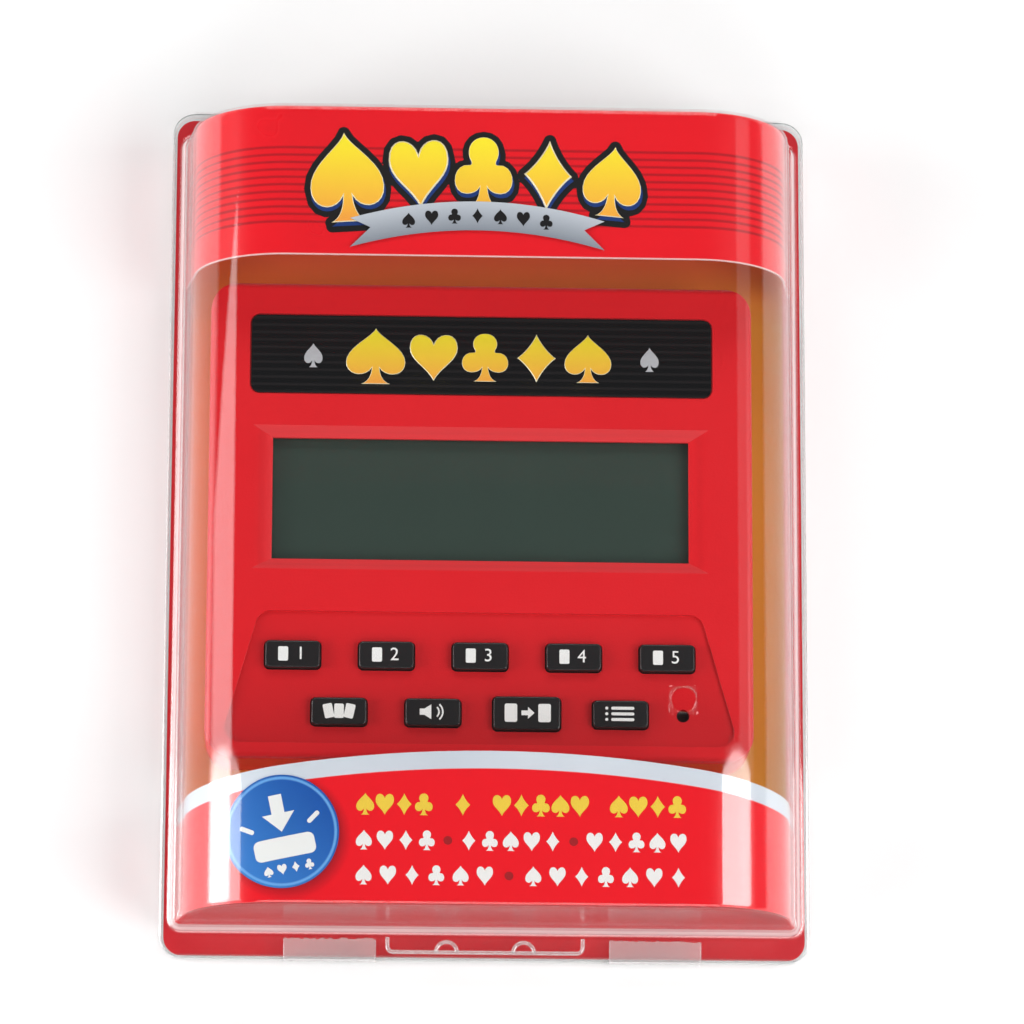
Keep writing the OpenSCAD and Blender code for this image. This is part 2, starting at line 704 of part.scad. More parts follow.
module reset_button() color("white") on_machine()
    translate([reset_x, row_low, board_top + switch_floor + button_gap])
        cylinder(r = button_r, h = button_top - switch_floor - button_gap);

module buzzer_disc() color("goldenrod") on_machine()
    translate([buzzer_x, buzzer_y, floor_z + part_gap]) cylinder(r = buzzer_r, h = buzzer_t);

// Two leads from the buzzer to the board; each ends in a short straight rise to its pad
module buzzer_wires() color("royalblue") on_machine()
    for (s = [-1, 1]) tube(smooth([
        [buzzer_x - 2, buzzer_y + s * 2, floor_z + part_gap + buzzer_t + wire_d / 2 + slip],
        [buzzer_x - 8, buzzer_y + s * 2.4, floor_z + 2],
        [buzzer_x - 15, buzzer_y + s * 1.8, floor_z + 2.4],
        [buzzer_x - 17.4, buzzer_y + s * 1.6, board_z - 2],
        [buzzer_x - 17.4, buzzer_y + s * 1.6, board_z - 1],
        [buzzer_x - 17.4, buzzer_y + s * 1.6, board_z - slip]]), wire_d);

// ---------- batteries ----------

module battery_cells() color("seagreen") on_machine()
    for (s = [-1, 1]) translate([0, bay_y + s * cell_pitch / 2, cell_z]) {
        // the upper cell's nub is at the right, the lower cell's at the left
        mirror([s > 0 ? 0 : 1, 0, 0])
            translate([-bay_w / 2 + contact_t + 2 * contact_gap + spring_l, 0, 0]) rotate([0, 90, 0]) {
                cylinder(r = cell_r, h = cell_l);
                translate([0, 0, cell_l - eps]) cylinder(r = nub_r, h = cell_nub);
            }
    }

// Cone springs
module battery_springs() color("silver") on_machine()
    for (s = [-1, 1]) translate([0, bay_y + s * cell_pitch / 2, cell_z]) mirror([s > 0 ? 0 : 1, 0, 0])
        translate([-bay_w / 2 + contact_t + contact_gap + slip, 0, 0]) rotate([0, 90, 0])
            cylinder(r1 = spring_r1, r2 = spring_r2, h = spring_l - slip);

module battery_contacts() color("silver") on_machine() translate([0, bay_y, cell_z]) {
    h = 2 * cell_r - contact_less;
    // bridge at the left, two single plates with solder tags at the right
    translate([-bay_w / 2 + contact_gap, -cell_pitch / 2 - h / 2, -h / 2])
        cube([contact_t, cell_pitch + h, h]);
    for (s = [-1, 1]) translate([bay_w / 2 - contact_gap - contact_t, s * cell_pitch / 2 - h / 2, -h / 2])
        cube([contact_t, h, h]);
}

// Leads from the two single contacts, over the bay's wall and down to the board's edge
module battery_wires() color("red") on_machine()
    for (s = [-1, 1]) tube(smooth([
        [bay_w / 2 + bay_wall + 0.6, bay_y + s * cell_pitch / 2, cell_z],
        [bay_w / 2 + bay_wall + 3, bay_y + s * cell_pitch / 2, cell_z - 1],
        [bay_w / 2 + bay_wall + 5 + s, bay_y - 5, cell_z - 3],
        [bay_w / 2 + bay_wall + 4 + s, bay_bottom - 4, floor_z + 2],
        [bay_w / 2 + bay_wall + 2 + s * 1.6, bay_bottom - 7, board_z - 2.2],
        [bay_w / 2 + bay_wall + 2 + s * 1.6, bay_bottom - 7, board_z - 1.1],
        [bay_w / 2 + bay_wall + 2 + s * 1.6, bay_bottom - 7, board_z - slip]]), battery_wire_d);

// ---------- fasteners and feet ----------

// A screw whose head's underside is at z = 0 and whose shank points up
module screw(d, head_d, head_t, l) {
    difference() {
        translate([0, 0, -head_t]) cylinder(d = head_d, h = head_t);
        for (a = [0, 90]) rotate(a)
            translate([-head_d / 3, -0.3, -head_t - 1]) cube([head_d / 1.5, 0.6, 1.6]);
    }
    translate([0, 0, -eps]) cylinder(d = d, h = l);
}

module housing_screws() color("silver") on_machine() {
    head_z = rear_z + screw_head_t + head_deep;
    for (p = SCREWS) translate([p[0], p[1], head_z])
        screw(screw_d, screw_head_d, screw_head_t, boss_z + pilot_l - pilot_spare - head_z);
}

module board_screws() color("silver") on_machine()
    for (p = BOARD_SCREWS) translate([p[0], p[1], board_z - slip])
        screw(board_screw_d, board_head_d, board_head_t, board_t + board_pilot_l - pilot_spare);

module door_screw() color("silver") on_machine() translate([0, door_lug_y, rear_z + door_head_t])
    screw(screw_d, screw_head_d, door_head_t, door_screw_l);

module rubber_feet() color([0.2, 0.2, 0.2]) on_machine()
    for (sx = [-1, 1], sy = [-1, 1])
        translate([sx * (machine_w / 2 - foot_x), sy * (machine_h / 2 - foot_y), foot_z])
            cylinder(r = foot_r, h = foot_t - slip);

clamshell_back();
living_hinge();
back_card();
clamshell_front();
header_card();
lower_card();
round_sticker();
seal_tape_left();
seal_tape_right();
front_housing();
rear_housing();
battery_door();
name_plate();
lcd_lens();
lcd_polariser();
lcd_glass();
lcd_reflector();
lcd_frame();
contact_strips();
keypad_mat();
for (i = [0:len(KEYS) - 1]) key(i);
circuit_board();
chip_blob();
crystal();
capacitor();
resistors();
reset_switch();
reset_button();
buzzer_disc();
buzzer_wires();
battery_cells();
battery_springs();
battery_contacts();
battery_wires();
housing_screws();
board_screws();
door_screw();
rubber_feet();
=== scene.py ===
# %% [markdown]
# # A handheld video poker machine in its clear display pack
# The object is a small red card-game machine, lying in a clear hinged pack with printed cards.
# Its sizes, joints and inner parts come packed as a fixed frame. This lesson gives that frame its
# looks: softened edges, formed clear sheet, printed card, foil, moulded plastic and studio light.
# We load the frame first, because every place that we need can be read from it.

# %% Load the frame
import math

import bmesh
import bpy
import numpy as np
from bmesh.types import BMEdge, BMFace, BMVert
from mathutils import Matrix, Vector, noise


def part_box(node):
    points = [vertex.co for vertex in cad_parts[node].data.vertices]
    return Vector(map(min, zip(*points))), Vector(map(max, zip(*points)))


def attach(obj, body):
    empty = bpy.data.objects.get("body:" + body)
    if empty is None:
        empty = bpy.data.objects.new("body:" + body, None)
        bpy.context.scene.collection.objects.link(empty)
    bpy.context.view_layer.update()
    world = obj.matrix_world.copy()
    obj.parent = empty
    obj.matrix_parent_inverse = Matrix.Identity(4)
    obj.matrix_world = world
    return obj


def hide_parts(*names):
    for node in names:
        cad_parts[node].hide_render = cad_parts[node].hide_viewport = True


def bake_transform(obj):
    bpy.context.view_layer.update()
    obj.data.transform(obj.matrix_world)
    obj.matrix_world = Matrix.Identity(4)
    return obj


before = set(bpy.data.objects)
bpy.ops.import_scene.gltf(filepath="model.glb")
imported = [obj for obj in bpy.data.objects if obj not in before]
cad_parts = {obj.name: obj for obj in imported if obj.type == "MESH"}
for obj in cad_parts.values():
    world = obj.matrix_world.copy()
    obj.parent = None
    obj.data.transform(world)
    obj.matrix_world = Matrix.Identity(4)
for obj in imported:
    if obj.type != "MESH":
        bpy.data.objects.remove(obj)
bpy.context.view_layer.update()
MM = 0.001

# %% [markdown]
# ## Camera
# The pack is seen nearly from above, from a little below its bottom edge, with a long lens. A long
# lens keeps the sides almost parallel, so the height of the dome still shows at its lower end. The
# camera is made first and aimed at one point, and then everything else is judged through it.

# %% Camera
CAMERA_DISTANCE = 1.1325
CAMERA_TILT = math.radians(13.04)    # towards the pack's bottom edge, from straight above
CAMERA_YAW = math.radians(-2.0)
CAMERA_ROLL = math.radians(0.21)
AIM = Vector((0.0052, 0.0050, 0.0))

camera_data = bpy.data.cameras.new("camera")
camera_data.lens = 195.5
camera_data.sensor_width = 36
camera = bpy.data.objects.new("camera", camera_data)
bpy.context.scene.collection.objects.link(camera)
outward = Vector((
    math.sin(CAMERA_YAW) * math.cos(CAMERA_TILT),
    -math.sin(CAMERA_TILT),
    math.cos(CAMERA_YAW) * math.cos(CAMERA_TILT),
))
camera.location = outward * CAMERA_DISTANCE
back = (camera.location - AIM).normalized()
right = Vector((0, 1, 0)).cross(back).normalized()
up = back.cross(right)
turn = Matrix((right, up, back)).transposed()
camera.rotation_euler = (turn @ Matrix.Rotation(CAMERA_ROLL, 3, "Z")).to_euler()
bpy.context.scene.camera = camera
print("camera at", [round(v, 3) for v in camera.location])

# %% [markdown]
# ## Light
# Clear formed plastic is mostly seen by what it mirrors. The dome's rounded long corners mirror
# whatever stands beside the pack, so each side gets a strong box near the lower end, which makes
# the white streaks there. The left one has a second box in its middle, for a streak with a bright
# core, and a turned box further up makes the streak end in a wedge. A long dim box keeps the rest
# of the right corner alive. A box behind the top edge and one in front light the cards. The room
# stays dim, so that the flat front of the dome stays clear.

# %% Light and floor
scene = bpy.context.scene
scene.view_settings.view_transform = "Standard"
world = bpy.data.worlds.new("studio")
world.use_nodes = True
room = world.node_tree.nodes["Background"]
room.inputs["Color"].default_value = (1, 1, 1, 1)
room.inputs["Strength"].default_value = 0.08
scene.world = world


def soft_box(name, place, target, across, length, radiance, roll=0.0):
    """A rectangular light that faces target. Its length lies as near the Y axis as it can, and roll
    then turns it about the line to the target."""
    data = bpy.data.lights.new(name, "AREA")
    data.shape = "RECTANGLE"
    data.size = across
    data.size_y = length
    data.energy = radiance * math.pi * across * length
    lamp = bpy.data.objects.new(name, data)
    lamp.location = place
    facing = (Vector(place) - Vector(target)).normalized()
    side = Vector((0, 1, 0)).cross(facing).normalized()
    upright = Matrix((side, facing.cross(side), facing)).transposed()
    lamp.rotation_euler = (upright @ Matrix.Rotation(math.radians(roll), 3, "Z")).to_euler()
    scene.collection.objects.link(lamp)
    return lamp


soft_box("left_box", (-0.93, -0.19, 0.37), (0, -0.19, 0), 0.76, 0.64, 3.6)
soft_box("left_core", (-0.97, -0.19, 0.24), (0, -0.19, 0), 0.50, 0.64, 3.6)
soft_box("right_box", (0.75, -0.24, 0.66), (0, -0.24, 0), 0.62, 0.74, 6.0)
soft_box("left_wedge", (-1.02, 0.13, 0.29), (0, 0.13, 0), 0.50, 0.36, 3.2, roll=14)
soft_box("right_long", (0.95, 0.40, 0.52), (0, 0.40, 0), 0.34, 0.80, 0.5)
soft_box("top_box", (0.0, 1.15, 0.95), (0, 0, 0), 1.3, 0.5, 4.5)
soft_box("front_box", (0.0, -1.15, 0.85), (0, 0, 0), 1.2, 0.5, 3.0)

floor_mesh = bmesh.new()
bmesh.ops.create_grid(floor_mesh, x_segments=1, y_segments=1, size=3)
floor_data = bpy.data.meshes.new("floor")
floor_mesh.to_mesh(floor_data)
floor_mesh.free()
floor = bpy.data.objects.new("floor", floor_data)
scene.collection.objects.link(floor)
floor_paint = bpy.data.materials.new("floor_paint")
floor_paint.use_nodes = True
floor_shader = floor_paint.node_tree.nodes["Principled BSDF"]
floor_shader.inputs["Base Color"].default_value = (0.93, 0.93, 0.93, 1)
floor_shader.inputs["Roughness"].default_value = 0.9
floor_data.materials.append(floor_paint)

# %% [markdown]
# ## Shared surface effects
# Moulded plastic, card and rubber never have one flat colour. Each has a fine grain, and the tone
# and the gloss drift a little over its surface. That is one effect with different amounts, so it is
# built once as a shader node group. The shader itself stays in each material.

# %% The moulded surface group


def add_socket(tree, name, way, kind, value=None):
    socket = tree.interface.new_socket(name=name, in_out=way, socket_type=kind)
    if value is not None:
        socket.default_value = value
    return socket


def join(output, entry):
    """Joins an output socket to an input socket of the same node tree."""
    output.id_data.links.new(output, entry)


def maths(nodes, operation, a, b=None, clamp=False):
    """A Math node. Its inputs are numbers or sockets, and it returns its output."""
    node = nodes.new("ShaderNodeMath")
    node.operation = operation
    node.use_clamp = clamp
    for socket, value in zip(node.inputs, (a, b)):
        if value is None:
            continue
        if isinstance(value, (int, float)):
            socket.default_value = value
        else:
            join(value, socket)
    return node.outputs[0]


def times(nodes, a, b):
    return maths(nodes, "MULTIPLY", a, b)


def mixed(nodes, share, a, b):
    """A colour between a and b. Each is a colour or a socket."""
    node = nodes.new("ShaderNodeMix")
    node.data_type = "RGBA"
    for socket, value in ((node.inputs[0], share), (node.inputs[6], a), (node.inputs[7], b)):
        if isinstance(value, bpy.types.NodeSocket):
            join(value, socket)
        elif isinstance(value, (int, float)):
            socket.default_value = value
        else:
            socket.default_value = (*value, 1)
    return node.outputs[2]


def make_surface_group():
    tree = bpy.data.node_groups.new("moulded_surface", "ShaderNodeTree")
    add_socket(tree, "Colour", "INPUT", "NodeSocketColor", (0.5, 0.5, 0.5, 1))
    add_socket(tree, "Roughness", "INPUT", "NodeSocketFloat", 0.5)
    add_socket(tree, "Mottle", "INPUT", "NodeSocketFloat", 0.05)
    add_socket(tree, "Grain Scale", "INPUT", "NodeSocketFloat", 3000.0)
    add_socket(tree, "Colour", "OUTPUT", "NodeSocketColor")
    add_socket(tree, "Roughness", "OUTPUT", "NodeSocketFloat")
    add_socket(tree, "Height", "OUTPUT", "NodeSocketFloat")
    nodes = tree.nodes
    given = nodes.new("NodeGroupInput")
    out = nodes.new("NodeGroupOutput")
    place = nodes.new("ShaderNodeTexCoord")
    drift = nodes.new("ShaderNodeTexNoise")
    drift.inputs["Scale"].default_value = 60
    drift.inputs["Detail"].default_value = 3
    grain = nodes.new("ShaderNodeTexNoise")
    grain.inputs["Detail"].default_value = 2
    join(place.outputs["Object"], drift.inputs["Vector"])
    join(place.outputs["Object"], grain.inputs["Vector"])
    join(given.outputs["Grain Scale"], grain.inputs["Scale"])
    swing = maths(nodes, "SUBTRACT", drift.outputs["Fac"], 0.5)
    amount = times(nodes, swing, given.outputs["Mottle"])
    speck = maths(nodes, "SUBTRACT", grain.outputs["Fac"], 0.5)
    speck = times(nodes, speck, given.outputs["Mottle"])
    tone = maths(nodes, "ADD", maths(nodes, "ADD", amount, speck), 1.0)
    scaled = nodes.new("ShaderNodeVectorMath")
    scaled.operation = "SCALE"
    join(given.outputs["Colour"], scaled.inputs[0])
    join(tone, scaled.inputs["Scale"])
    join(scaled.outputs[0], out.inputs["Colour"])
    join(maths(nodes, "ADD", given.outputs["Roughness"], amount, True), out.inputs["Roughness"])
    join(grain.outputs["Fac"], out.inputs["Height"])
    return tree


surface_group = make_surface_group()
print("group:", surface_group.name, [s.name for s in surface_group.interface.items_tree])

# %% [markdown]
# ## Materials in one call
# Every solid finish starts in the same way: a colour and a roughness go through the group into a
# Principled BSDF, and the grain becomes a small bump. A function keeps that in one place, and
# returns its parts, so that a printed card can put its own pattern before the group.

# %% Solid finishes


def finish(name, colour, roughness, grain=3000.0, bump=0.05, mottle=0.06, metallic=0.0, coat=0.0):
    """A material with the shared surface. Returns it with its nodes and its surface node."""
    material = bpy.data.materials.new(name)
    material.use_nodes = True
    nodes = material.node_tree.nodes
    shader = nodes["Principled BSDF"]
    shader.inputs["Metallic"].default_value = metallic
    shader.inputs["Coat Weight"].default_value = coat
    shader.inputs["Coat Roughness"].default_value = 0.08
    surface = nodes.new("ShaderNodeGroup")
    surface.node_tree = surface_group
    surface.inputs["Colour"].default_value = (*colour, 1)
    surface.inputs["Roughness"].default_value = roughness
    surface.inputs["Mottle"].default_value = mottle
    surface.inputs["Grain Scale"].default_value = grain
    relief = nodes.new("ShaderNodeBump")
    relief.inputs["Strength"].default_value = bump
    relief.inputs["Distance"].default_value = 0.0002
    join(surface.outputs["Colour"], shader.inputs["Base Color"])
    join(surface.outputs["Roughness"], shader.inputs["Roughness"])
    join(surface.outputs["Height"], relief.inputs["Height"])
    join(relief.outputs["Normal"], shader.inputs["Normal"])
    return material, nodes, surface


def object_place(nodes):
    """The X, Y and Z of a point on the object, in metres, as three sockets."""
    place = nodes.new("ShaderNodeTexCoord")
    split = nodes.new("ShaderNodeSeparateXYZ")
    join(place.outputs["Object"], split.inputs[0])
    return split.outputs[0], split.outputs[1], split.outputs[2]


def ramp(nodes, value, low, high):
    """0 below low and 1 above high, with a straight run between them."""
    node = nodes.new("ShaderNodeMapRange")
    join(value, node.inputs["Value"])
    node.inputs["From Min"].default_value = low
    node.inputs["From Max"].default_value = high
    return node.outputs["Result"]


def band(nodes, value, low, high, blur):
    """1 between low and high, and 0 outside, with edges that are blur wide."""
    rise = ramp(nodes, value, low - blur / 2, low + blur / 2)
    fall = ramp(nodes, value, high + blur / 2, high - blur / 2)
    return times(nodes, rise, fall)


def paint(surface, colour):
    """Gives a finish a colour that its own nodes have worked out."""
    join(colour, surface.inputs["Colour"])


def plain(name, *values, **options):
    """A finish of one colour."""
    return finish(name, *values, **options)[0]


MACHINE_RED = (0.74, 0.005, 0.012)
key_plastic = plain("key_plastic", (0.010, 0.009, 0.010), 0.34, grain=2500, bump=0.08)
key_print = plain("key_print", (0.86, 0.86, 0.84), 0.5)
print("solid finishes made:", len(bpy.data.materials))

# %% [markdown]
# ## Helpers for new pieces
# A new piece is a bmesh that becomes an object at the origin, with its place in its mesh. It rides
# a body of the frame, and the imported nodes that it stands for are hidden. Smooth shading with an
# angle limit keeps rounded edges soft and flat faces flat.

# %% Piece helpers


def even_shading(piece):
    """Lets the large faces set the shading, so that rounded edges don't bend the light on them."""
    weights = piece.modifiers.new("even_shading", "WEIGHTED_NORMAL")
    weights.keep_sharp = True
    weights.weight = 90


def piece_from(bm, name, body, slot, material, *nodes):
    mesh = bpy.data.meshes.new(name)
    bm.to_mesh(mesh)
    bm.free()
    mesh.polygons.foreach_set("use_smooth", [True] * len(mesh.polygons))
    mesh.set_sharp_from_angle(angle=math.radians(35))
    mesh.materials.append(material)
    piece = bpy.data.objects.new(name, mesh)
    scene.collection.objects.link(piece)
    even_shading(piece)
    if body:
        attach(piece, body)
    if nodes:
        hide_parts(*nodes)
    print(f"{name}: {len(mesh.polygons)} faces on {body}")
    return piece


def round_edges(bm, edges, radius, segments):
    return bmesh.ops.bevel(bm, geom=edges, offset=radius, offset_type="OFFSET", segments=segments,
                           profile=0.5, affect="EDGES", clamp_overlap=True, material=-1)


def block(low, high):
    """A box between two corners, as a bmesh."""
    bm = bmesh.new()
    bmesh.ops.create_cube(bm, size=1)
    bmesh.ops.scale(bm, vec=Vector(high) - Vector(low), verts=bm.verts)
    bmesh.ops.translate(bm, vec=(Vector(low) + Vector(high)) / 2, verts=bm.verts)
    return bm


def along(edge, axis):
    """True if an edge runs along that axis."""
    way = edge.verts[0].co - edge.verts[1].co
    return abs(way[axis]) > 0.99 * way.length


def at_height(edge, z):
    return all(abs(v.co.z - z) < 1e-6 for v in edge.verts)


def sharp_edges(bm, degrees):
    """Edges whose two faces meet at more than that angle."""
    return [e for e in bm.edges
            if len(e.link_faces) == 2 and e.calc_face_angle(0) > math.radians(degrees)]


def only(kind, geom):
    """The verts, edges or faces in what an operator returns."""
    return [g for g in geom if isinstance(g, kind)]


def slab(low, high, corner, edge=0.0, steps=6):
    """A block with rounded upright corners and, if edge is given, a rounded top rim."""
    bm = block(low, high)
    round_edges(bm, [e for e in bm.edges if along(e, 2)], corner, steps)
    if edge:
        round_edges(bm, [e for e in bm.edges if at_height(e, high[2])], edge, 3)
    return bm


print("helpers ready")

# %% [markdown]
# ## The machine's shell
# The imported housings already have the right walls, recesses and openings, but a real moulding has
# no knife edges. We merge a copy of the front housing's imported mesh, dissolve its flat triangles
# into whole faces, and bevel only its edges near the face that meet at a sharp angle. The thin
# highlight along each edge is what makes the part look moulded.

# %% Softened housings


def softened(node, radius, steps, above):
    """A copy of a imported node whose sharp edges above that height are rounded."""
    bm = bmesh.new()
    bm.from_mesh(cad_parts[node].data)
    bmesh.ops.remove_doubles(bm, verts=bm.verts, dist=2e-6)
    bmesh.ops.dissolve_limit(bm, angle_limit=math.radians(0.5), verts=bm.verts, edges=bm.edges)
    sharp = [e for e in sharp_edges(bm, 28) if all(v.co.z > above for v in e.verts)]
    round_edges(bm, sharp, radius, steps)
    return bm


def coat_nodes(material, *names):
    """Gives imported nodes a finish."""
    for name in names:
        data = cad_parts[name].data
        data.materials.clear()
        data.materials.append(material)


def red_shell():
    """Red plastic with painted shade on its sunk key panel, a little all over and deeper towards its
    lower edge.
    """
    material, nodes, surface = finish("red_plastic", MACHINE_RED, 0.38, grain=2600, bump=0.16)
    y, z = object_place(nodes)[1:]
    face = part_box("front_housing")[1].z
    sunk = band(nodes, z, face - 0.8 * MM, face - 0.4 * MM, 0.1 * MM)
    # Painted shade: the floor of the sunk panel is darkened, a little all over and more towards its
    # lower edge.
    lower_shade = ramp(nodes, y, -12 * MM, -60 * MM)
    share = times(nodes, sunk, maths(nodes, "ADD", lower_shade, 0.25, True))
    dark = tuple(c * 0.80 for c in MACHINE_RED)
    paint(surface, mixed(nodes, share, MACHINE_RED, dark))
    return material


red_plastic = red_shell()
softened_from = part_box("front_housing")[1].z - 1.5 * MM
front = softened("front_housing", 0.22 * MM, 2, softened_from)
piece_from(front, "front_shell", "pack_and_machine", "red_plastic", red_plastic, "front_housing")
coat_nodes(red_plastic, "rear_housing", "battery_door")

# %% [markdown]
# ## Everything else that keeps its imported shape
# The inner pieces are hidden when the pack is shut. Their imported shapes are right, so they only
# need their own finishes. One table says what each finish is like and which nodes get it.

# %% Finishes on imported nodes
METAL = {"metallic": 1.0}
RUBBER = {"grain": 1800}
PACKED_FINISHES = (
    ("grey_plastic", (0.06, 0.06, 0.065), 0.45, {}, ("lcd_frame", "reset_switch")),
    ("grey_rubber", (0.45, 0.45, 0.45), 0.7, RUBBER, ("contact_strips", "keypad_mat")),
    ("black_rubber", (0.02, 0.02, 0.02), 0.75, RUBBER | {"bump": 0.1}, ("rubber_feet",)),
    ("black_resin", (0.008, 0.008, 0.008), 0.18, {"grain": 300, "bump": 0.1}, ("chip_blob",)),
    ("tinned_metal", (0.72, 0.72, 0.70), 0.3, METAL, ("crystal",)),
    ("screw_steel", (0.62, 0.61, 0.58), 0.28, METAL,
     ("housing_screws", "board_screws", "door_screw")),
    ("spring_steel", (0.74, 0.73, 0.70), 0.2, METAL, ("battery_springs", "battery_contacts")),
    ("brass", (0.78, 0.56, 0.22), 0.3, METAL, ("buzzer_disc",)),
    ("reset_plastic", (0.03, 0.03, 0.03), 0.5, {}, ("reset_button",)),
    ("blue_wire", (0.03, 0.08, 0.45), 0.4, {}, ("buzzer_wires",)),
    ("red_wire", (0.5, 0.02, 0.02), 0.4, {}, ("battery_wires",)),
    ("silver_film", (0.6, 0.61, 0.6), 0.5, {"metallic": 0.6}, ("lcd_reflector",)),
    ("green_board", (0.01, 0.09, 0.04), 0.3, {"coat": 0.4}, ("circuit_board",)),
    ("blue_sleeve", (0.02, 0.03, 0.18), 0.3, {}, ("capacitor",)),
    ("tan_lacquer", (0.55, 0.38, 0.2), 0.4, {}, ("resistors",)),
    ("cell_jacket", (0.05, 0.22, 0.10), 0.3, {"coat": 0.5}, ("battery_cells",)),
    ("lcd_film", (0.042, 0.064, 0.053), 0.35, {}, ("lcd_polariser",)),
)
for name, colour, roughness, options, names in PACKED_FINISHES:
    coat_nodes(plain(name, colour, roughness, **options), *names)
print("finishes on packed nodes:", len(PACKED_FINISHES))

# %% [markdown]
# ## Clear sheet
# Clear formed sheet bends light so little that refraction only adds noise. So it is made the way a
# thin sheet looks: light passes straight through, and a mirror-like layer grows from 4% head-on to
# a full mirror at grazing angles. The growth is a power of the facing angle, which is the same on
# both sides of a face, so the inner wall mirrors as the outer one does.

# %% Clear materials
# Share of the sheet that the painted fold highlight covers at full strength.
FOLD_HIGHLIGHT_SHARE = 0.42                    # how much fully whitened sheet hides


def clear_sheet(name, tint, haze, roughness, milk_and_highlight=None):
    """A see-through sheet. haze is the least share of light that it turns back.

    Its whitening is 0 for clear sheet and 1 for whitened sheet, as a number or as a function that
    builds the nodes for it. Whitened sheet scatters light instead of mirroring it. On the dome's
    folds and on the notch bead the white is painted highlight; on the tape it is the tape's own
    frosting."""
    material = bpy.data.materials.new(name)
    material.use_nodes = True
    nodes = material.node_tree.nodes
    shader = nodes["Principled BSDF"]
    shader.inputs["Base Color"].default_value = (1, 1, 1, 1)
    shader.inputs["Metallic"].default_value = 1.0
    shader.inputs["Roughness"].default_value = roughness
    through = nodes.new("ShaderNodeBsdfTransparent")
    through.inputs["Color"].default_value = (*tint, 1)
    slant = nodes.new("ShaderNodeLayerWeight")
    slant.inputs["Blend"].default_value = 0.5
    steep = maths(nodes, "POWER", slant.outputs["Facing"], 5.0)
    # A function's white share is painted highlight on the dome's folds.
    if callable(milk_and_highlight):
        whitened, dull = milk_and_highlight(nodes)
        steep = times(nodes, steep, maths(nodes, "SUBTRACT", 1.0, times(nodes, dull, 0.75)))
        join(maths(nodes, "SUBTRACT", 1.0, whitened, True), shader.inputs["Metallic"])
        rough = times(nodes, maths(nodes, "MAXIMUM", whitened, dull), 0.25)
        join(maths(nodes, "ADD", rough, roughness), shader.inputs["Roughness"])
    elif milk_and_highlight:
        shader.inputs["Metallic"].default_value = 1 - milk_and_highlight
    share = maths(nodes, "ADD", times(nodes, steep, 0.96), haze, True)
    if callable(milk_and_highlight):
        share = maths(nodes, "ADD", share, times(nodes, whitened, FOLD_HIGHLIGHT_SHARE), True)
    blend = nodes.new("ShaderNodeMixShader")
    join(share, blend.inputs[0])
    join(through.outputs[0], blend.inputs[1])
    join(shader.outputs[0], blend.inputs[2])
    join(blend.outputs[0], nodes["Material Output"].inputs["Surface"])
    return material


pet_sheet = clear_sheet("clear_sheet", (0.985, 0.99, 0.99), 0.04, 0.03)
lens_acrylic = clear_sheet("clear_lens", (0.96, 0.98, 0.97), 0.03, 0.02)
coat_nodes(lens_acrylic, "lcd_lens", "lcd_glass")
print("clear materials:", pet_sheet.name, lens_acrylic.name)

# %% [markdown]
# ## The formed dome
# The front half is one sheet, drawn over a mould, so nothing on it is sharp. We start from a box,
# round its two long edges with the big corner radius, lean the walls below them outwards, then
# round the rest with a small radius. The box's open foot is turned outwards in a quarter round and
# runs on as the flat rim. A Solidify modifier then gives the sheet its thickness, inwards.

# %% Front half of the pack
SHEET = 0.5 * MM
CARD_GAP = 0.3 * MM
DOME_CORNER = 20 * MM
CARD_ROUND = DOME_CORNER - SHEET - CARD_GAP
DOME_EDGE = 1.7 * MM
FOLD = 1.8 * MM                      # radius where the dome's foot turns into the rim
FOLD_TURNS = (18, 36, 54, 72, 90)
RIM_CORNER = 4.5 * MM
RIM_INSET = 0.02 * MM                # keeps the rim inside its packed outline
LEAN = math.radians(10)              # of the long side walls
WALL_MEET = math.cos(math.radians(4))    # a wall starts 4 degrees before its corner's side
rim_low, rim_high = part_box("clamshell_front")
header_low, header_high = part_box("header_card")
lower_low, lower_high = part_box("lower_card")
dome_top = header_high.y + SHEET + CARD_GAP
dome_bottom = lower_low.y - SHEET - CARD_GAP
dome_z = rim_high.z
rim_z = rim_low.z + SHEET
corner_z = dome_z - DOME_CORNER


def wall_at(z, radius):
    """How far a leaning wall at height z is beyond the middle line of its long corner."""
    reach = radius * WALL_MEET
    return reach * math.cos(LEAN) + (corner_z + reach * math.sin(LEAN) - z) * math.tan(LEAN)


corner_x = header_high.x - wall_at(header_low.z, CARD_ROUND)
dome_x = corner_x + DOME_CORNER
foot_x = corner_x + wall_at(rim_z, DOME_CORNER)
print("dome half width:", round(dome_x, 4), "at its foot:", round(foot_x, 4))
reset_low, reset_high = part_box("reset_button")
HOLE_RADIUS = 2.4 * MM
HOLE_SHIFT = 1.1 * MM
HOLE_LIP = 0.3 * MM
HOLE_MARGIN = 0.35 * MM
hole_place = (reset_low + reset_high) / 2 - Vector((HOLE_SHIFT, 0, 0))


def face_outwards(bm, height, way):
    """Makes an open sheet's faces agree, with the face of greatest height looking up or down."""
    bmesh.ops.recalc_face_normals(bm, faces=bm.faces)
    outermost = max(bm.faces, key=height)
    if outermost.normal.z * way < 0:
        bmesh.ops.reverse_faces(bm, faces=bm.faces)


def open_edges(bm):
    return [e for e in bm.edges if e.is_boundary]


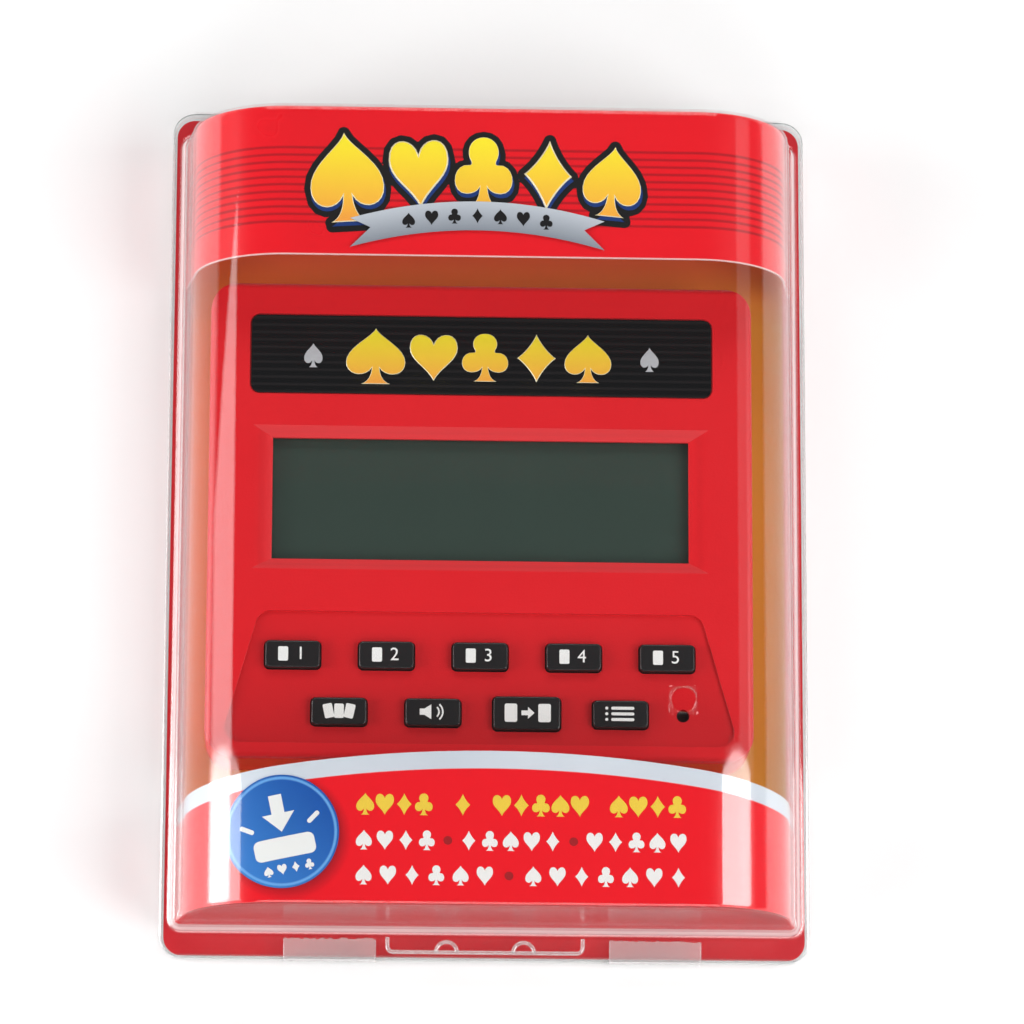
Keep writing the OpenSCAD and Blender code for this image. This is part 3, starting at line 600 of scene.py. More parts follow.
def punch(bm, x, y, z, radius, lip, points=48):
    """Cuts a round hole in a flat stretch and turns its edge in by lip.

    A square just larger than the hole is cut out of the sheet first, and it has to be all flat."""
    side = radius + lip + HOLE_MARGIN
    for axis, middle in ((0, x), (1, y)):
        for offset in (-side, side):
            plane = Vector((0, 0, 0))
            plane[axis] = middle + offset
            normal = Vector((0, 0, 0))
            normal[axis] = 1
            bmesh.ops.bisect_plane(bm, geom=bm.verts[:] + bm.edges[:] + bm.faces[:],
                                   plane_co=plane, plane_no=normal, dist=1e-7)
    freed = []
    for face in bm.faces:
        away = face.calc_center_median() - Vector((x, y, z))
        if abs(away.x) < side and abs(away.y) < side and abs(away.z) < 0.1 * MM:
            freed.append(face)
    bmesh.ops.delete(bm, geom=freed, context="FACES")
    square = [e for e in open_edges(bm) if at_height(e, z)]
    circle = bmesh.ops.create_circle(bm, segments=points, radius=radius + lip,
                                     matrix=Matrix.Translation((x, y, z)))
    ring = list({e for v in circle["verts"] for e in v.link_edges})
    bmesh.ops.triangle_fill(bm, edges=square + ring, use_beauty=True, use_dissolve=False,
                            normal=(0, 0, 1))
    for drop, reach in ((0.10, 0.45), (0.5, 1.0)):
        turned = bmesh.ops.extrude_edge_only(bm, edges=ring)["geom"]
        ring = [e for e in only(BMEdge, turned) if e.is_boundary]
        for v in only(BMVert, turned):
            way = Vector((v.co.x - x, v.co.y - y, 0)).normalized()
            v.co = Vector((x, y, z - drop * lip)) + way * (radius + lip * (1 - reach))


def carry_rim(bm):
    """Turns the open foot outwards in a quarter round and carries it on as the flat rim."""
    middle_y = (dome_top + dome_bottom) / 2
    start = Vector((max(v.co.x for v in bm.verts), (dome_top - dome_bottom) / 2))
    loop = open_edges(bm)
    ways = {}
    for v in {v for e in loop for v in e.verts}:
        past = Vector((abs(v.co.x) - start.x + DOME_EDGE,
                       abs(v.co.y - middle_y) - start.y + DOME_EDGE))
        way = Vector((max(past.x, 0), max(past.y, 0))).normalized()
        ways[v] = Vector((math.copysign(way.x, v.co.x), math.copysign(way.y, v.co.y - middle_y)))
    steps = []
    for turned in FOLD_TURNS:
        out = FOLD * (1 - math.cos(math.radians(turned)))
        height = rim_z + FOLD * (1 - math.sin(math.radians(turned)))
        steps.append((start.x + out, start.y + out, DOME_EDGE + out, height))
    rim_half_y = (rim_high.y - rim_low.y) / 2
    steps.append((rim_high.x - RIM_INSET, rim_half_y - RIM_INSET, RIM_CORNER, rim_z))
    for half_x, half_y, corner, z in steps:
        old = {v for e in loop for v in e.verts}
        grown = bmesh.ops.extrude_edge_only(bm, edges=loop)["geom"]
        loop = [e for e in only(BMEdge, grown) if e.is_boundary]
        carried = {}
        for v in {v for e in loop for v in e.verts}:
            last = next(e.other_vert(v) for e in v.link_edges if e.other_vert(v) in old)
            way = ways[last]
            carried[v] = way
            v.co.x = math.copysign(half_x - corner, way.x) + corner * way.x
            v.co.y = middle_y + math.copysign(half_y - corner, way.y) + corner * way.y
            v.co.z = z
        ways = carried


def formed_dome():
    bm = block((-dome_x, dome_bottom, rim_z + FOLD), (dome_x, dome_top, dome_z))
    foot = [f for f in bm.faces if f.normal.z < -0.9]
    bmesh.ops.delete(bm, geom=foot, context="FACES")
    round_edges(bm, [e for e in bm.edges if along(e, 1) and at_height(e, dome_z)], DOME_CORNER, 24)
    lean_from = corner_z + DOME_CORNER * WALL_MEET * math.sin(LEAN)
    for v in bm.verts:
        if v.co.z < lean_from and abs(v.co.x) > corner_x:
            v.co.x = math.copysign(corner_x + wall_at(v.co.z, DOME_CORNER), v.co.x)
    round_edges(bm, sharp_edges(bm, 60), DOME_EDGE, 5)
    bmesh.ops.remove_doubles(bm, verts=bm.verts, dist=1e-6)
    carry_rim(bm)
    punch(bm, hole_place.x, hole_place.y, dome_z, HOLE_RADIUS, HOLE_LIP)
    face_outwards(bm, lambda f: f.calc_center_median().z, 1)
    return bm


def drawn_white(nodes):
    """Two shares for the dome's sheet: how white it is, and how dull.

    The white is painted highlight, at the dome's foot and along the rim's edge.
    The lower end wall was stretched most, so its gloss is duller."""
    x, y, z = object_place(nodes)
    foot = band(nodes, z, rim_z + 0.35 * MM, rim_z + 1.5 * MM, 0.5 * MM)
    side = ramp(nodes, maths(nodes, "ABSOLUTE", x),
                rim_high.x - 0.7 * MM, rim_high.x - 0.1 * MM)
    end = ramp(nodes, y, rim_low.y + 0.9 * MM, rim_low.y + 0.2 * MM)
    edge = maths(nodes, "MAXIMUM", side, end)
    # Painted highlight: white at the dome's foot and, at 0.6 of that, along the rim's edge.
    white = maths(nodes, "MAXIMUM", foot, times(nodes, edge, 0.6))
    dull = ramp(nodes, y, dome_bottom + 0.8 * MM, dome_bottom + 0.2 * MM)
    return white, dull


def thicken(piece, thickness):
    """Gives a sheet its thickness, on the inside."""
    wall = piece.modifiers.new("wall", "SOLIDIFY")
    wall.thickness = thickness
    wall.offset = -1
    piece.modifiers.move(len(piece.modifiers) - 1, 0)
    return piece


dome_sheet = clear_sheet("dome_sheet", (0.985, 0.99, 0.99), 0.04, 0.03, drawn_white)
dome = piece_from(formed_dome(), "front_dome", "front_cover", "clear_sheet", dome_sheet,
                  "clamshell_front")
thicken(dome, SHEET)

# %% [markdown]
# ## The back tray and the hinge
# The back half is a shallow tray. It is a rounded box without a lid, with its lower edge softened,
# so that it catches a line of light along the floor.

# %% Back half of the pack


def back_tray():
    low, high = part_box("clamshell_back")
    bm = block(low, high)
    round_edges(bm, [e for e in bm.edges if along(e, 2)], RIM_CORNER, 8)
    bmesh.ops.delete(bm, geom=[f for f in bm.faces if f.normal.z > 0.9], context="FACES")
    round_edges(bm, [e for e in bm.edges if at_height(e, low.z)], 0.9 * MM, 4)
    face_outwards(bm, lambda f: -f.calc_center_median().z, -1)
    return bm


tray = piece_from(back_tray(), "back_tray", "pack_and_machine", "clear_sheet", pet_sheet,
                  "clamshell_back")
thicken(tray, SHEET)

# %% [markdown]
# ## The thumb notch
# A raised bead on the rim outlines the notch where a thumb opens the pack, with two small stops
# inside it. The bead is a round section that is carried along three sides, so a curve with a
# bevel makes it in one go. It becomes a mesh before it is handed over.

# %% Thumb notch
NOTCH_HALF = 19.5 * MM
NOTCH_TOP = rim_low.y + 4.4 * MM
NOTCH_FOOT = rim_low.y + 1.5 * MM
NOTCH_ROUND = 1.2 * MM
BEAD_RADIUS = 0.42 * MM
STOP_RADIUS = 2.1 * MM
STOP_PLACE = 7.7 * MM


def wire(name, runs, radius, sides=4):
    """A round section along each run of points, as a bmesh."""
    curve = bpy.data.curves.new(name, "CURVE")
    curve.dimensions = "3D"
    curve.bevel_depth = radius
    curve.bevel_resolution = sides
    curve.use_fill_caps = True
    for run in runs:
        spline = curve.splines.new("POLY")
        spline.points.add(len(run) - 1)
        for point, place in zip(spline.points, run):
            point.co = (*place, 1)
    holder = bpy.data.objects.new(name, curve)
    mesh = bpy.data.meshes.new_from_object(holder)
    bpy.data.objects.remove(holder)
    bm = bmesh.new()
    bm.from_mesh(mesh)
    bmesh.ops.remove_doubles(bm, verts=bm.verts, dist=1e-6)
    bmesh.ops.recalc_face_normals(bm, faces=bm.faces)
    return bm


def arc(centre, radius, start, end, z, steps=8):
    """Points of an arc at one height, from one angle in degrees to another."""
    angles = [math.radians(start + (end - start) * i / steps) for i in range(steps + 1)]
    return [(centre[0] + radius * math.cos(a), centre[1] + radius * math.sin(a), z) for a in angles]


bead_z = rim_z + 0.05 * MM
bead = [(-NOTCH_HALF, NOTCH_TOP, bead_z)]
bead += arc((-NOTCH_HALF + NOTCH_ROUND, NOTCH_FOOT + NOTCH_ROUND), NOTCH_ROUND, 180, 270, bead_z)
bead += arc((NOTCH_HALF - NOTCH_ROUND, NOTCH_FOOT + NOTCH_ROUND), NOTCH_ROUND, 270, 360, bead_z)
bead += [(NOTCH_HALF, NOTCH_TOP, bead_z)]
stops = [arc((side * STOP_PLACE, NOTCH_FOOT), STOP_RADIUS, 0, 180, bead_z, 14) for side in (-1, 1)]
# Painted highlight: the bead's sheet is made whitish and hazy to stand for the light on its round
# section.
bead_highlight_sheet = clear_sheet("bead_highlight_sheet", (0.97, 0.97, 0.97), 0.30, 0.15, 0.6)
piece_from(wire("notch_bead", [bead] + stops, BEAD_RADIUS), "notch_bead", "front_cover",
           "clear_sheet", bead_highlight_sheet)

# %% [markdown]
# ## The living hinge
# Between the two halves the sheet runs on as a thin web, where the pack folds. It is built in one
# bent shape.

# %% Living hinge
web_low, web_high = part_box("living_hinge")
WEB_STEPS = 12
WEB_SECTION = ((-0.35, -0.55), (-0.10, -0.42), (0.04, -0.2), (0.08, 0.02), (0.04, 0.22),
               (-0.10, 0.40), (-0.35, 0.48))    # in mm from the middle of the fold


def hinge_web():
    bm = bmesh.new()
    line = [bm.verts.new((web_low.x, web_high.y + (y - 0.1) * MM, rim_low.z + z * MM))
            for y, z in WEB_SECTION]
    edges = [bm.edges.new(pair) for pair in zip(line, line[1:])]
    step = (web_high.x - web_low.x) / WEB_STEPS
    for i in range(WEB_STEPS):
        drawn = bmesh.ops.extrude_edge_only(bm, edges=edges)["geom"]
        edges = [e for e in only(BMEdge, drawn) if e.is_boundary and not along(e, 0)]
        bmesh.ops.translate(bm, vec=(step, 0, 0), verts=only(BMVert, drawn))
    bmesh.ops.recalc_face_normals(bm, faces=bm.faces)
    return bm


web = piece_from(hinge_web(), "hinge_web", None, "clear_sheet", pet_sheet, "living_hinge")
thicken(web, 0.1 * MM)
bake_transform(web)

# %% [markdown]
# ## Sealing tape
# Two strips of clear tape fold over the lower edge. Tape is never quite flat: it lifts a little in
# soft wrinkles and its torn end is uneven. So each strip is a fine grid that is bent over the edge
# and then moved a little by noise.

# %% Sealing tape
clear_tape = clear_sheet("clear_tape", (0.98, 0.95, 0.95), 0.20, 0.22, 0.85)
TAPE_THICKNESS = 0.03 * MM
TAPE_LIFT = 0.08 * MM                # of its wrinkles
TAPE_RAGGED = 0.45 * MM              # of its torn end, which fades over the next length
TAPE_TORN = 1.5 * MM


def tape_strip(node, seed):
    low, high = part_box(node)
    top = high.z - 0.1 * MM
    front = low.y + 0.1 * MM
    inner = high.y - 1.3 * MM
    reach = inner - front
    drop = top - low.z
    bm = bmesh.new()
    bmesh.ops.create_grid(bm, x_segments=44, y_segments=26, size=0.5)
    for v in bm.verts:
        across = (low.x + high.x) / 2 + v.co.x * (high.x - low.x)
        run = (0.5 - v.co.y) * (reach + drop)
        spot = Vector((across * 900, run * 500, seed * 7.0))
        lift = TAPE_LIFT * abs(noise.noise(spot))
        tear = noise.noise(Vector((across * 1600, seed, 0.3)))
        ragged = TAPE_RAGGED * tear * max(0, 1 - run / TAPE_TORN)
        if run < reach:
            v.co = Vector((across, inner - run + ragged, top + lift - 0.02 * MM))
        else:
            v.co = Vector((across, front + 0.02 * MM - min(lift, 0.04 * MM), top - (run - reach)))
    bmesh.ops.recalc_face_normals(bm, faces=bm.faces)
    return bm


for number, node in enumerate(("seal_tape_left", "seal_tape_right")):
    strip = piece_from(tape_strip(node, number + 1), node.replace("seal_", ""), "front_cover",
                       "clear_tape", clear_tape, node)
    thicken(strip, TAPE_THICKNESS)

# %% [markdown]
# ## Printed card
# The cards keep their imported shapes, which are already bent to the dome. Their print is drawn by
# masks on Object coordinates: stripes across the header, a curved silver border on the lower card,
# a soft shadow under the sticker, and a gradient with a red border on the back card, whose top is
# darkened by a painted shadow of the header card.

# %% Printed cards
CARD_RED = (0.88, 0.006, 0.016)
DEEP_RED = (0.42, 0.006, 0.014)
SILVER = (0.66, 0.70, 0.76)
BOARD_GREY = (0.52, 0.50, 0.46)
PRINT = {"grain": 5000, "bump": 0.02}
STRIPE_STEP = 1.55 * MM
STRIPES_HIGH = header_high.y - 7.9 * MM
STRIPES_LOW = STRIPES_HIGH - 11 * STRIPE_STEP
SWOOSH_RADIUS = 260 * MM
SWOOSH_WIDTH = 3.5 * MM
sticker_low, sticker_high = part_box("round_sticker")
sticker_x = (sticker_low.x + sticker_high.x) / 2
sticker_y = (sticker_low.y + sticker_high.y) / 2
sticker_radius = (sticker_high.y - sticker_low.y) / 2


def away_from(nodes, x, y, centre):
    """Distance of a point from an upright axis through centre."""
    across = maths(nodes, "SUBTRACT", x, centre[0])
    along_y = maths(nodes, "SUBTRACT", y, centre[1])
    square = maths(nodes, "ADD", times(nodes, across, across), times(nodes, along_y, along_y))
    return maths(nodes, "SQRT", square)


def inner_side(nodes):
    """1 where a bent card faces the machine, and 0 on its printed side."""
    place = nodes.new("ShaderNodeTexCoord")
    middle = nodes.new("ShaderNodeVectorMath")
    middle.operation = "SUBTRACT"
    join(place.outputs["Object"], middle.inputs[0])
    middle.inputs[1].default_value = (0, 0, 11 * MM)
    level = nodes.new("ShaderNodeVectorMath")
    level.operation = "MULTIPLY"
    join(middle.outputs[0], level.inputs[0])
    level.inputs[1].default_value = (1, 0, 1)
    across = nodes.new("ShaderNodeVectorMath")
    across.operation = "DOT_PRODUCT"
    join(level.outputs[0], across.inputs[0])
    join(place.outputs["Normal"], across.inputs[1])
    return ramp(nodes, across.outputs["Value"], -1 * MM, -2 * MM)


def header_print():
    material, nodes, surface = finish("header_print", CARD_RED, 0.28, mottle=0.03, coat=0.3,
                                      **PRINT)
    y = object_place(nodes)[1]
    rise = maths(nodes, "SUBTRACT", y, STRIPES_LOW)
    turns = maths(nodes, "DIVIDE", rise, STRIPE_STEP)
    line = band(nodes, maths(nodes, "FRACT", turns), 0.34, 0.66, 0.18)
    zone = band(nodes, y, STRIPES_LOW, STRIPES_HIGH, 0.2 * MM)
    striped = times(nodes, times(nodes, line, zone), 0.85)
    colour = mixed(nodes, striped, CARD_RED, DEEP_RED)
    cut_edge = ramp(nodes, y, header_low.y + 0.32 * MM, header_low.y + 0.12 * MM)
    colour = mixed(nodes, cut_edge, colour, (0.9, 0.66, 0.64))
    paint(surface, mixed(nodes, inner_side(nodes), colour, BOARD_GREY))
    return material


def lower_print():
    material, nodes, surface = finish("lower_print", CARD_RED, 0.28, mottle=0.03, coat=0.3,
                                      **PRINT)
    x, y = object_place(nodes)[:2]
    under = (sticker_x + 0.9 * MM, sticker_y - 0.9 * MM)
    gap = away_from(nodes, x, y, under)
    shade = ramp(nodes, gap, sticker_radius + 1.6 * MM, sticker_radius - 0.6 * MM)
    colour = mixed(nodes, times(nodes, shade, 0.8), CARD_RED, DEEP_RED)
    reach = away_from(nodes, x, y, (0, lower_high.y - SWOOSH_RADIUS))
    border = ramp(nodes, reach, SWOOSH_RADIUS - SWOOSH_WIDTH - 0.1 * MM,
                  SWOOSH_RADIUS - SWOOSH_WIDTH + 0.1 * MM)
    tone = nodes.new("ShaderNodeTexNoise")
    tone.inputs["Scale"].default_value = 25
    place = nodes.new("ShaderNodeTexCoord")
    join(place.outputs["Object"], tone.inputs["Vector"])
    silver = mixed(nodes, tone.outputs["Fac"], (0.5, 0.55, 0.62), (0.8, 0.84, 0.9))
    colour = mixed(nodes, border, colour, silver)
    paint(surface, mixed(nodes, inner_side(nodes), colour, BOARD_GREY))
    return material


def back_print():
    """Orange that turns golden to the right inside a red border, with a painted shadow of the header
    card darkening its top.
    """
    material, nodes, surface = finish("back_print", (0.75, 0.3, 0.05), 0.4, grain=4000, bump=0.03)
    low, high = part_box("back_card")
    x, y, z = object_place(nodes)
    across = ramp(nodes, x, low.x, high.x)
    warm = mixed(nodes, across, (0.92, 0.22, 0.02), (0.60, 0.25, 0.02))
    # Painted shadow of the header card: the top of the back card turns towards dark red.
    top = ramp(nodes, y, 44 * MM, 60 * MM)
    warm = mixed(nodes, times(nodes, top, 0.85), warm, (0.62, 0.03, 0.01))
    inner_x = band(nodes, x, low.x + 3.4 * MM, high.x - 3.4 * MM, 0.8 * MM)
    inner_y = band(nodes, y, lower_low.y + 6 * MM, high.y - 8 * MM, 1.0 * MM)
    inside = times(nodes, inner_x, inner_y)
    printed = mixed(nodes, inside, (0.66, 0.01, 0.02), warm)
    face = ramp(nodes, z, low.z + 0.25 * MM, low.z + 0.3 * MM)
    paint(surface, mixed(nodes, face, (0.72, 0.70, 0.66), printed))
    return material


coat_nodes(header_print(), "header_card")
coat_nodes(lower_print(), "lower_card")
coat_nodes(back_print(), "back_card")
print("printed cards:", SWOOSH_RADIUS, round(sticker_x, 4), round(sticker_y, 4))

# %% [markdown]
# ## Card-suit shapes
# All the printed signs on this object are card suits and simple pictures. A suit is symmetric, so
# only its right half is written down, as a few cubic curves on a unit grid. The rest is a mirror.

# %% Suit outlines
HALF_SUITS = {
    "spade": (
        ((0, 1), (0.10, 0.70), (0.95, 0.32), (0.95, -0.22)),
        ((0.95, -0.22), (0.95, -0.74), (0.32, -0.78), (0.12, -0.42)),
        ((0.12, -0.42), (0.14, -0.70), (0.24, -0.92), (0.46, -1)),
    ),
    "heart": (
        ((0, 0.52), (0.14, 1.05), (0.97, 1.12), (0.97, 0.38)),
        ((0.97, 0.38), (0.97, -0.18), (0.28, -0.42), (0, -1)),
    ),
    "diamond": (
        ((0, 1), (0.16, 0.62), (0.48, 0.22), (0.78, 0)),
        ((0.78, 0), (0.48, -0.22), (0.16, -0.62), (0, -1)),
    ),
    "club": (
        ((0, 1), (0.40, 1), (0.62, 0.62), (0.40, 0.30)),
        ((0.40, 0.30), (0.38, 0.24), (0.40, 0.20), (0.46, 0.20)),
        ((0.46, 0.20), (1.05, 0.26), (1.10, -0.62), (0.56, -0.62)),
        ((0.56, -0.62), (0.36, -0.62), (0.20, -0.55), (0.12, -0.42)),
        ((0.12, -0.42), (0.14, -0.70), (0.24, -0.92), (0.46, -1)),
    ),
}


def on_curve(curve, t):
    a, b, c, d = (Vector(p) for p in curve)
    return a * (1 - t) ** 3 + 3 * b * t * (1 - t) ** 2 + 3 * c * t * t * (1 - t) + d * t ** 3


def suit_outline(suit, steps=9):
    """The whole outline of a suit on a unit grid, clockwise from its top."""
    half = [on_curve(curve, i / steps) for curve in HALF_SUITS[suit] for i in range(steps)]
    half.append(Vector(HALF_SUITS[suit][-1][-1]))
    other = [Vector((-p.x, p.y)) for p in reversed(half) if p.x > 1e-6]
    return half + other


def add_sign(bm, outline, place, size, low, high, edge=0.0, tilt=0.0):
    """Adds a flat sign: an outline on a unit grid, sized and placed, between two heights."""
    spin = Matrix.Rotation(tilt, 2)
    verts = []
    for point in outline:
        x, y = spin @ Vector((point[0] * size[0] / 2, point[1] * size[1] / 2))
        verts.append(bm.verts.new((place[0] + x, place[1] + y, low)))
    face = bm.faces.new(verts)
    face.normal_update()
    if face.normal.z > 0:
        face.normal_flip()
    raised = bmesh.ops.extrude_face_region(bm, geom=[face])["geom"]
    top = only(BMFace, raised)
    bmesh.ops.translate(bm, vec=(0, 0, high - low), verts=[v for f in top for v in f.verts])
    if edge:
        round_edges(bm, [e for f in top for e in f.edges], edge, 1)
    return top


def laid_out(outline, place, size, tilt=0.0):
    """An outline on a unit grid as points on the pack, counter-clockwise."""
    spin = Matrix.Rotation(tilt, 2)
    points = [Vector(place) + spin @ Vector((x * size[0] / 2, y * size[1] / 2)) for x, y in outline]
    area = sum(a.x * b.y - b.x * a.y for a, b in zip(points, points[1:] + points[:1]))
    return points if area > 0 else points[::-1]


def gaps(points, shapes):
    """How far each point is from the nearest shape, and 0 inside one."""
    nearest = np.full(len(points), np.inf)
    for shape in shapes:
        inside = np.zeros(len(points), bool)
        for a, b in zip(shape, shape[1:] + shape[:1]):
            run = np.array(b - a)
            away = points - np.array(a)
            share = np.clip(away @ run / (run @ run), 0, 1)
            nearest = np.minimum(nearest, np.linalg.norm(away - share[:, None] * run, axis=1))
            crosses = (points[:, 1] < a.y) != (points[:, 1] < b.y)
            if abs(run[1]) > 0:
                inside ^= crosses & (points[:, 0] < a.x + (points[:, 1] - a.y) * run[0] / run[1])
        nearest[inside] = 0
    return nearest


def add_margin(bm, shapes, reach, low, high, step=0.35 * MM):
    """Adds one sheet that covers the shapes and a round margin about them.

    A grid covers them all. Its faces beyond the margin go, and the points of its new border are
    then drawn along the slope of the distance on to the margin's exact line."""
    spots = np.array([p for shape in shapes for p in shape])
    start, end = spots.min(0) - 2 * reach, spots.max(0) + 2 * reach
    size, middle = end - start, (start + end) / 2
    columns, rows = int(size[0] / step), int(size[1] / step)
    bmesh.ops.create_grid(bm, x_segments=columns, y_segments=rows, size=0.5)
    bmesh.ops.scale(bm, vec=(size[0], size[1], 1), verts=bm.verts)
    bmesh.ops.translate(bm, vec=(middle[0], middle[1], low), verts=bm.verts)
    bm.faces.ensure_lookup_table()
    middles = np.array([f.calc_center_median()[:2] for f in bm.faces])
    far = gaps(middles, shapes) > reach
    bmesh.ops.delete(bm, geom=[f for f, out in zip(bm.faces, far) if out], context="FACES")
    border = [v for v in bm.verts if v.is_boundary]
    places = np.array([v.co[:2] for v in border])
    for turn in range(3):
        here = gaps(places, shapes)
        moved = [gaps(places + d, shapes) - here for d in ((1e-6, 0), (0, 1e-6))]
        slope = np.stack(moved, axis=1)
        slope /= np.maximum(np.linalg.norm(slope, axis=1, keepdims=True), 1e-12)
        places = places - slope * (here - reach)[:, None]
    for v, place in zip(border, places):
        v.co = (place[0], place[1], low)
    bmesh.ops.dissolve_limit(bm, angle_limit=math.radians(1), verts=bm.verts, edges=bm.edges)
    raised = bmesh.ops.extrude_face_region(bm, geom=bm.faces[:])["geom"]
    bmesh.ops.translate(bm, vec=(0, 0, high - low), verts=only(BMVert, raised))
    bmesh.ops.recalc_face_normals(bm, faces=bm.faces)


print("suits:", {name: len(suit_outline(name)) for name in HALF_SUITS})

# %% [markdown]
# ## Gold titles
# A gold title has three layers: a black outline, a blue shade that is shifted down and to the
# right, and the gold itself with a pale bevelled edge. The same function makes the title on the
# machine's name plate and the larger one on the header card.

# %% Gold titles
TITLE_SUITS = ("spade", "heart", "club", "diamond", "spade")
INK_GAP = 0.01 * MM                  # under the first layer
INK = 0.03 * MM                      # thickness of a printed layer
black_ink = plain("black_ink", (0.010, 0.009, 0.010), 0.3, **PRINT)
blue_ink = plain("blue_ink", (0.012, 0.045, 0.22), 0.3, **PRINT)
silver_ink = plain("silver_ink", (0.62, 0.63, 0.66), 0.35, metallic=0.3)
white_ink = plain("white_ink", (0.88, 0.87, 0.85), 0.4, **PRINT)
yellow_ink = plain("yellow_ink", (0.88, 0.62, 0.06), 0.4, **PRINT)
maroon_ink = plain("maroon_ink", (0.36, 0.008, 0.012), 0.4, **PRINT)


def gold_ink(name, low_y, high_y):
    """Yellow at the top and amber at the bottom, with a pale edge where the face turns."""
    material, nodes, surface = finish(name, (0.9, 0.6, 0.05), 0.25, coat=0.3, **PRINT)
    y = object_place(nodes)[1]
    warm = mixed(nodes, ramp(nodes, y, low_y, high_y), (0.92, 0.36, 0.06), (0.98, 0.86, 0.03))
    place = nodes.new("ShaderNodeTexCoord")
    split = nodes.new("ShaderNodeSeparateXYZ")
    join(place.outputs["Normal"], split.inputs[0])
    level = ramp(nodes, split.outputs[2], 0.9, 0.97)
    paint(surface, mixed(nodes, level, (0.95, 0.86, 0.55), warm))
    return material


def title_row(centre, widths, heights, tilts, gap, drop):
    """Place, size and tilt of each sign of a title, on a shallow arch."""
    total = sum(widths) + gap * (len(widths) - 1)
    x = centre[0] - total / 2
    row = []
    for width, height, tilt in zip(widths, heights, tilts):
        middle = x + width / 2
        bow = drop * ((middle - centre[0]) / (total / 2)) ** 2
        row.append(((middle, centre[1] - bow), (width, height), math.radians(tilt)))
        x += width + gap
    return row


def gold_title(name, row, base, body, slot, edge, outline=0.0, shade=0.0):
    """Builds the layers of a title upwards from base."""
    level = base + INK_GAP
    if outline:
        signs = [laid_out(suit_outline(suit, 6), place, size, tilt)
                 for suit, (place, size, tilt) in zip(TITLE_SUITS, row)]
        shades = [[p + Vector((0.25 * shade, -shade)) for p in sign] for sign in signs]
        bm = bmesh.new()
        add_margin(bm, signs + shades, outline, level, level + INK)
        piece_from(bm, name + "_outline", body, slot, black_ink)
        level += INK
        bm = bmesh.new()
        for suit, (place, size, tilt) in zip(TITLE_SUITS, row):
            add_sign(bm, suit_outline(suit), (place[0] + 0.25 * shade, place[1] - shade),
                     (size[0] + 0.5 * shade, size[1]), level, level + INK, tilt=tilt)
        piece_from(bm, name + "_shade", body, slot, blue_ink)
        level += INK
    bm = bmesh.new()
    for suit, (place, size, tilt) in zip(TITLE_SUITS, row):
        add_sign(bm, suit_outline(suit), place, size, level, level + edge, 0.95 * edge, tilt)
    low_y = min(place[1] - size[1] / 2 for place, size, tilt in row)
    high_y = max(place[1] + size[1] / 2 for place, size, tilt in row)
    return piece_from(bm, name, body, slot, gold_ink(name + "_ink", low_y, high_y))


def plate_print():
    """Gloss black with faint charcoal lines across it."""
    material, nodes, surface = finish("black_plate", (0.004, 0.004, 0.005), 0.16, grain=5000,
                                      bump=0.01, coat=0.3)
    y = object_place(nodes)[1]
    turns = maths(nodes, "DIVIDE", y, STRIPE_STEP)
    line = band(nodes, maths(nodes, "FRACT", turns), 0.3, 0.62, 0.2)
    paint(surface, mixed(nodes, line, (0.003, 0.003, 0.004), (0.013, 0.011, 0.012)))
    return material


coat_nodes(plate_print(), "name_plate")
plate_low, plate_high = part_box("name_plate")
plate_mid = (plate_low + plate_high) / 2
plate_row = title_row((plate_mid.x - 0.6 * MM, plate_mid.y - 0.3 * MM), [12.6 * MM] + [10 * MM] * 4,
                      [11.6 * MM] + [10 * MM] * 4, [0] * 5, 0.4 * MM, 0)
gold_title("plate_title", plate_row, plate_high.z, "pack_and_machine", "black_plate", 0.14 * MM)

spades = bmesh.new()
for side in (-1, 1):
    add_sign(spades, suit_outline("spade"), (plate_mid.x + side * 34 * MM, plate_mid.y - 0.3 * MM),
             (3.9 * MM, 5.0 * MM), plate_high.z + 0.01 * MM, plate_high.z + 0.05 * MM)
piece_from(spades, "plate_spades", "pack_and_machine", "black_plate", silver_ink)

header_mid = Vector(((header_low.x + header_high.x) / 2 - 3.6 * MM, header_high.y - 13.4 * MM))
header_row = title_row(header_mid, [15.6 * MM] + [12.4 * MM] * 4, [18.6 * MM] + [14.6 * MM] * 4,
                       [4, 3, 0, -3, -5], 0.55 * MM, 2.4 * MM)
gold_title("header_title", header_row, header_high.z, "front_cover", "red_card", 0.3 * MM,
           outline=1.25 * MM, shade=0.8 * MM)

# %% [markdown]
# ## Ribbon
# Under the header's title hangs a silver ribbon on an arch. It is a long grid whose points are
# lifted onto a parabola, and whose two ends are notched by pulling their middle inwards.

# %% Ribbon under the header title
RIBBON_HALF = 25.5 * MM
RIBBON_WIDTH = 6.0 * MM
RIBBON_BOW = 3.8 * MM
RIBBON_NOTCH = 0.16
ribbon_x = header_mid.x + 0.4 * MM
ribbon_y = header_high.y - 22.6 * MM


def bow_at(x):
    return -RIBBON_BOW * ((x - ribbon_x) / RIBBON_HALF) ** 2


def silver_ribbon():
    bm = bmesh.new()
    bmesh.ops.create_grid(bm, x_segments=36, y_segments=2, size=0.5)
    for v in bm.verts:
        pull = RIBBON_NOTCH * abs(2 * v.co.x) ** 5 if abs(v.co.y) < 1e-6 else 0
        x = ribbon_x + v.co.x * 2 * RIBBON_HALF * (1 - pull)
        v.co = Vector((x, ribbon_y + v.co.y * RIBBON_WIDTH + bow_at(x), header_high.z + 0.4 * MM))
    thick = bmesh.ops.extrude_face_region(bm, geom=bm.faces[:])["geom"]
    bmesh.ops.translate(bm, vec=(0, 0, 0.05 * MM), verts=only(BMVert, thick))
    bmesh.ops.recalc_face_normals(bm, faces=bm.faces)
    return bm


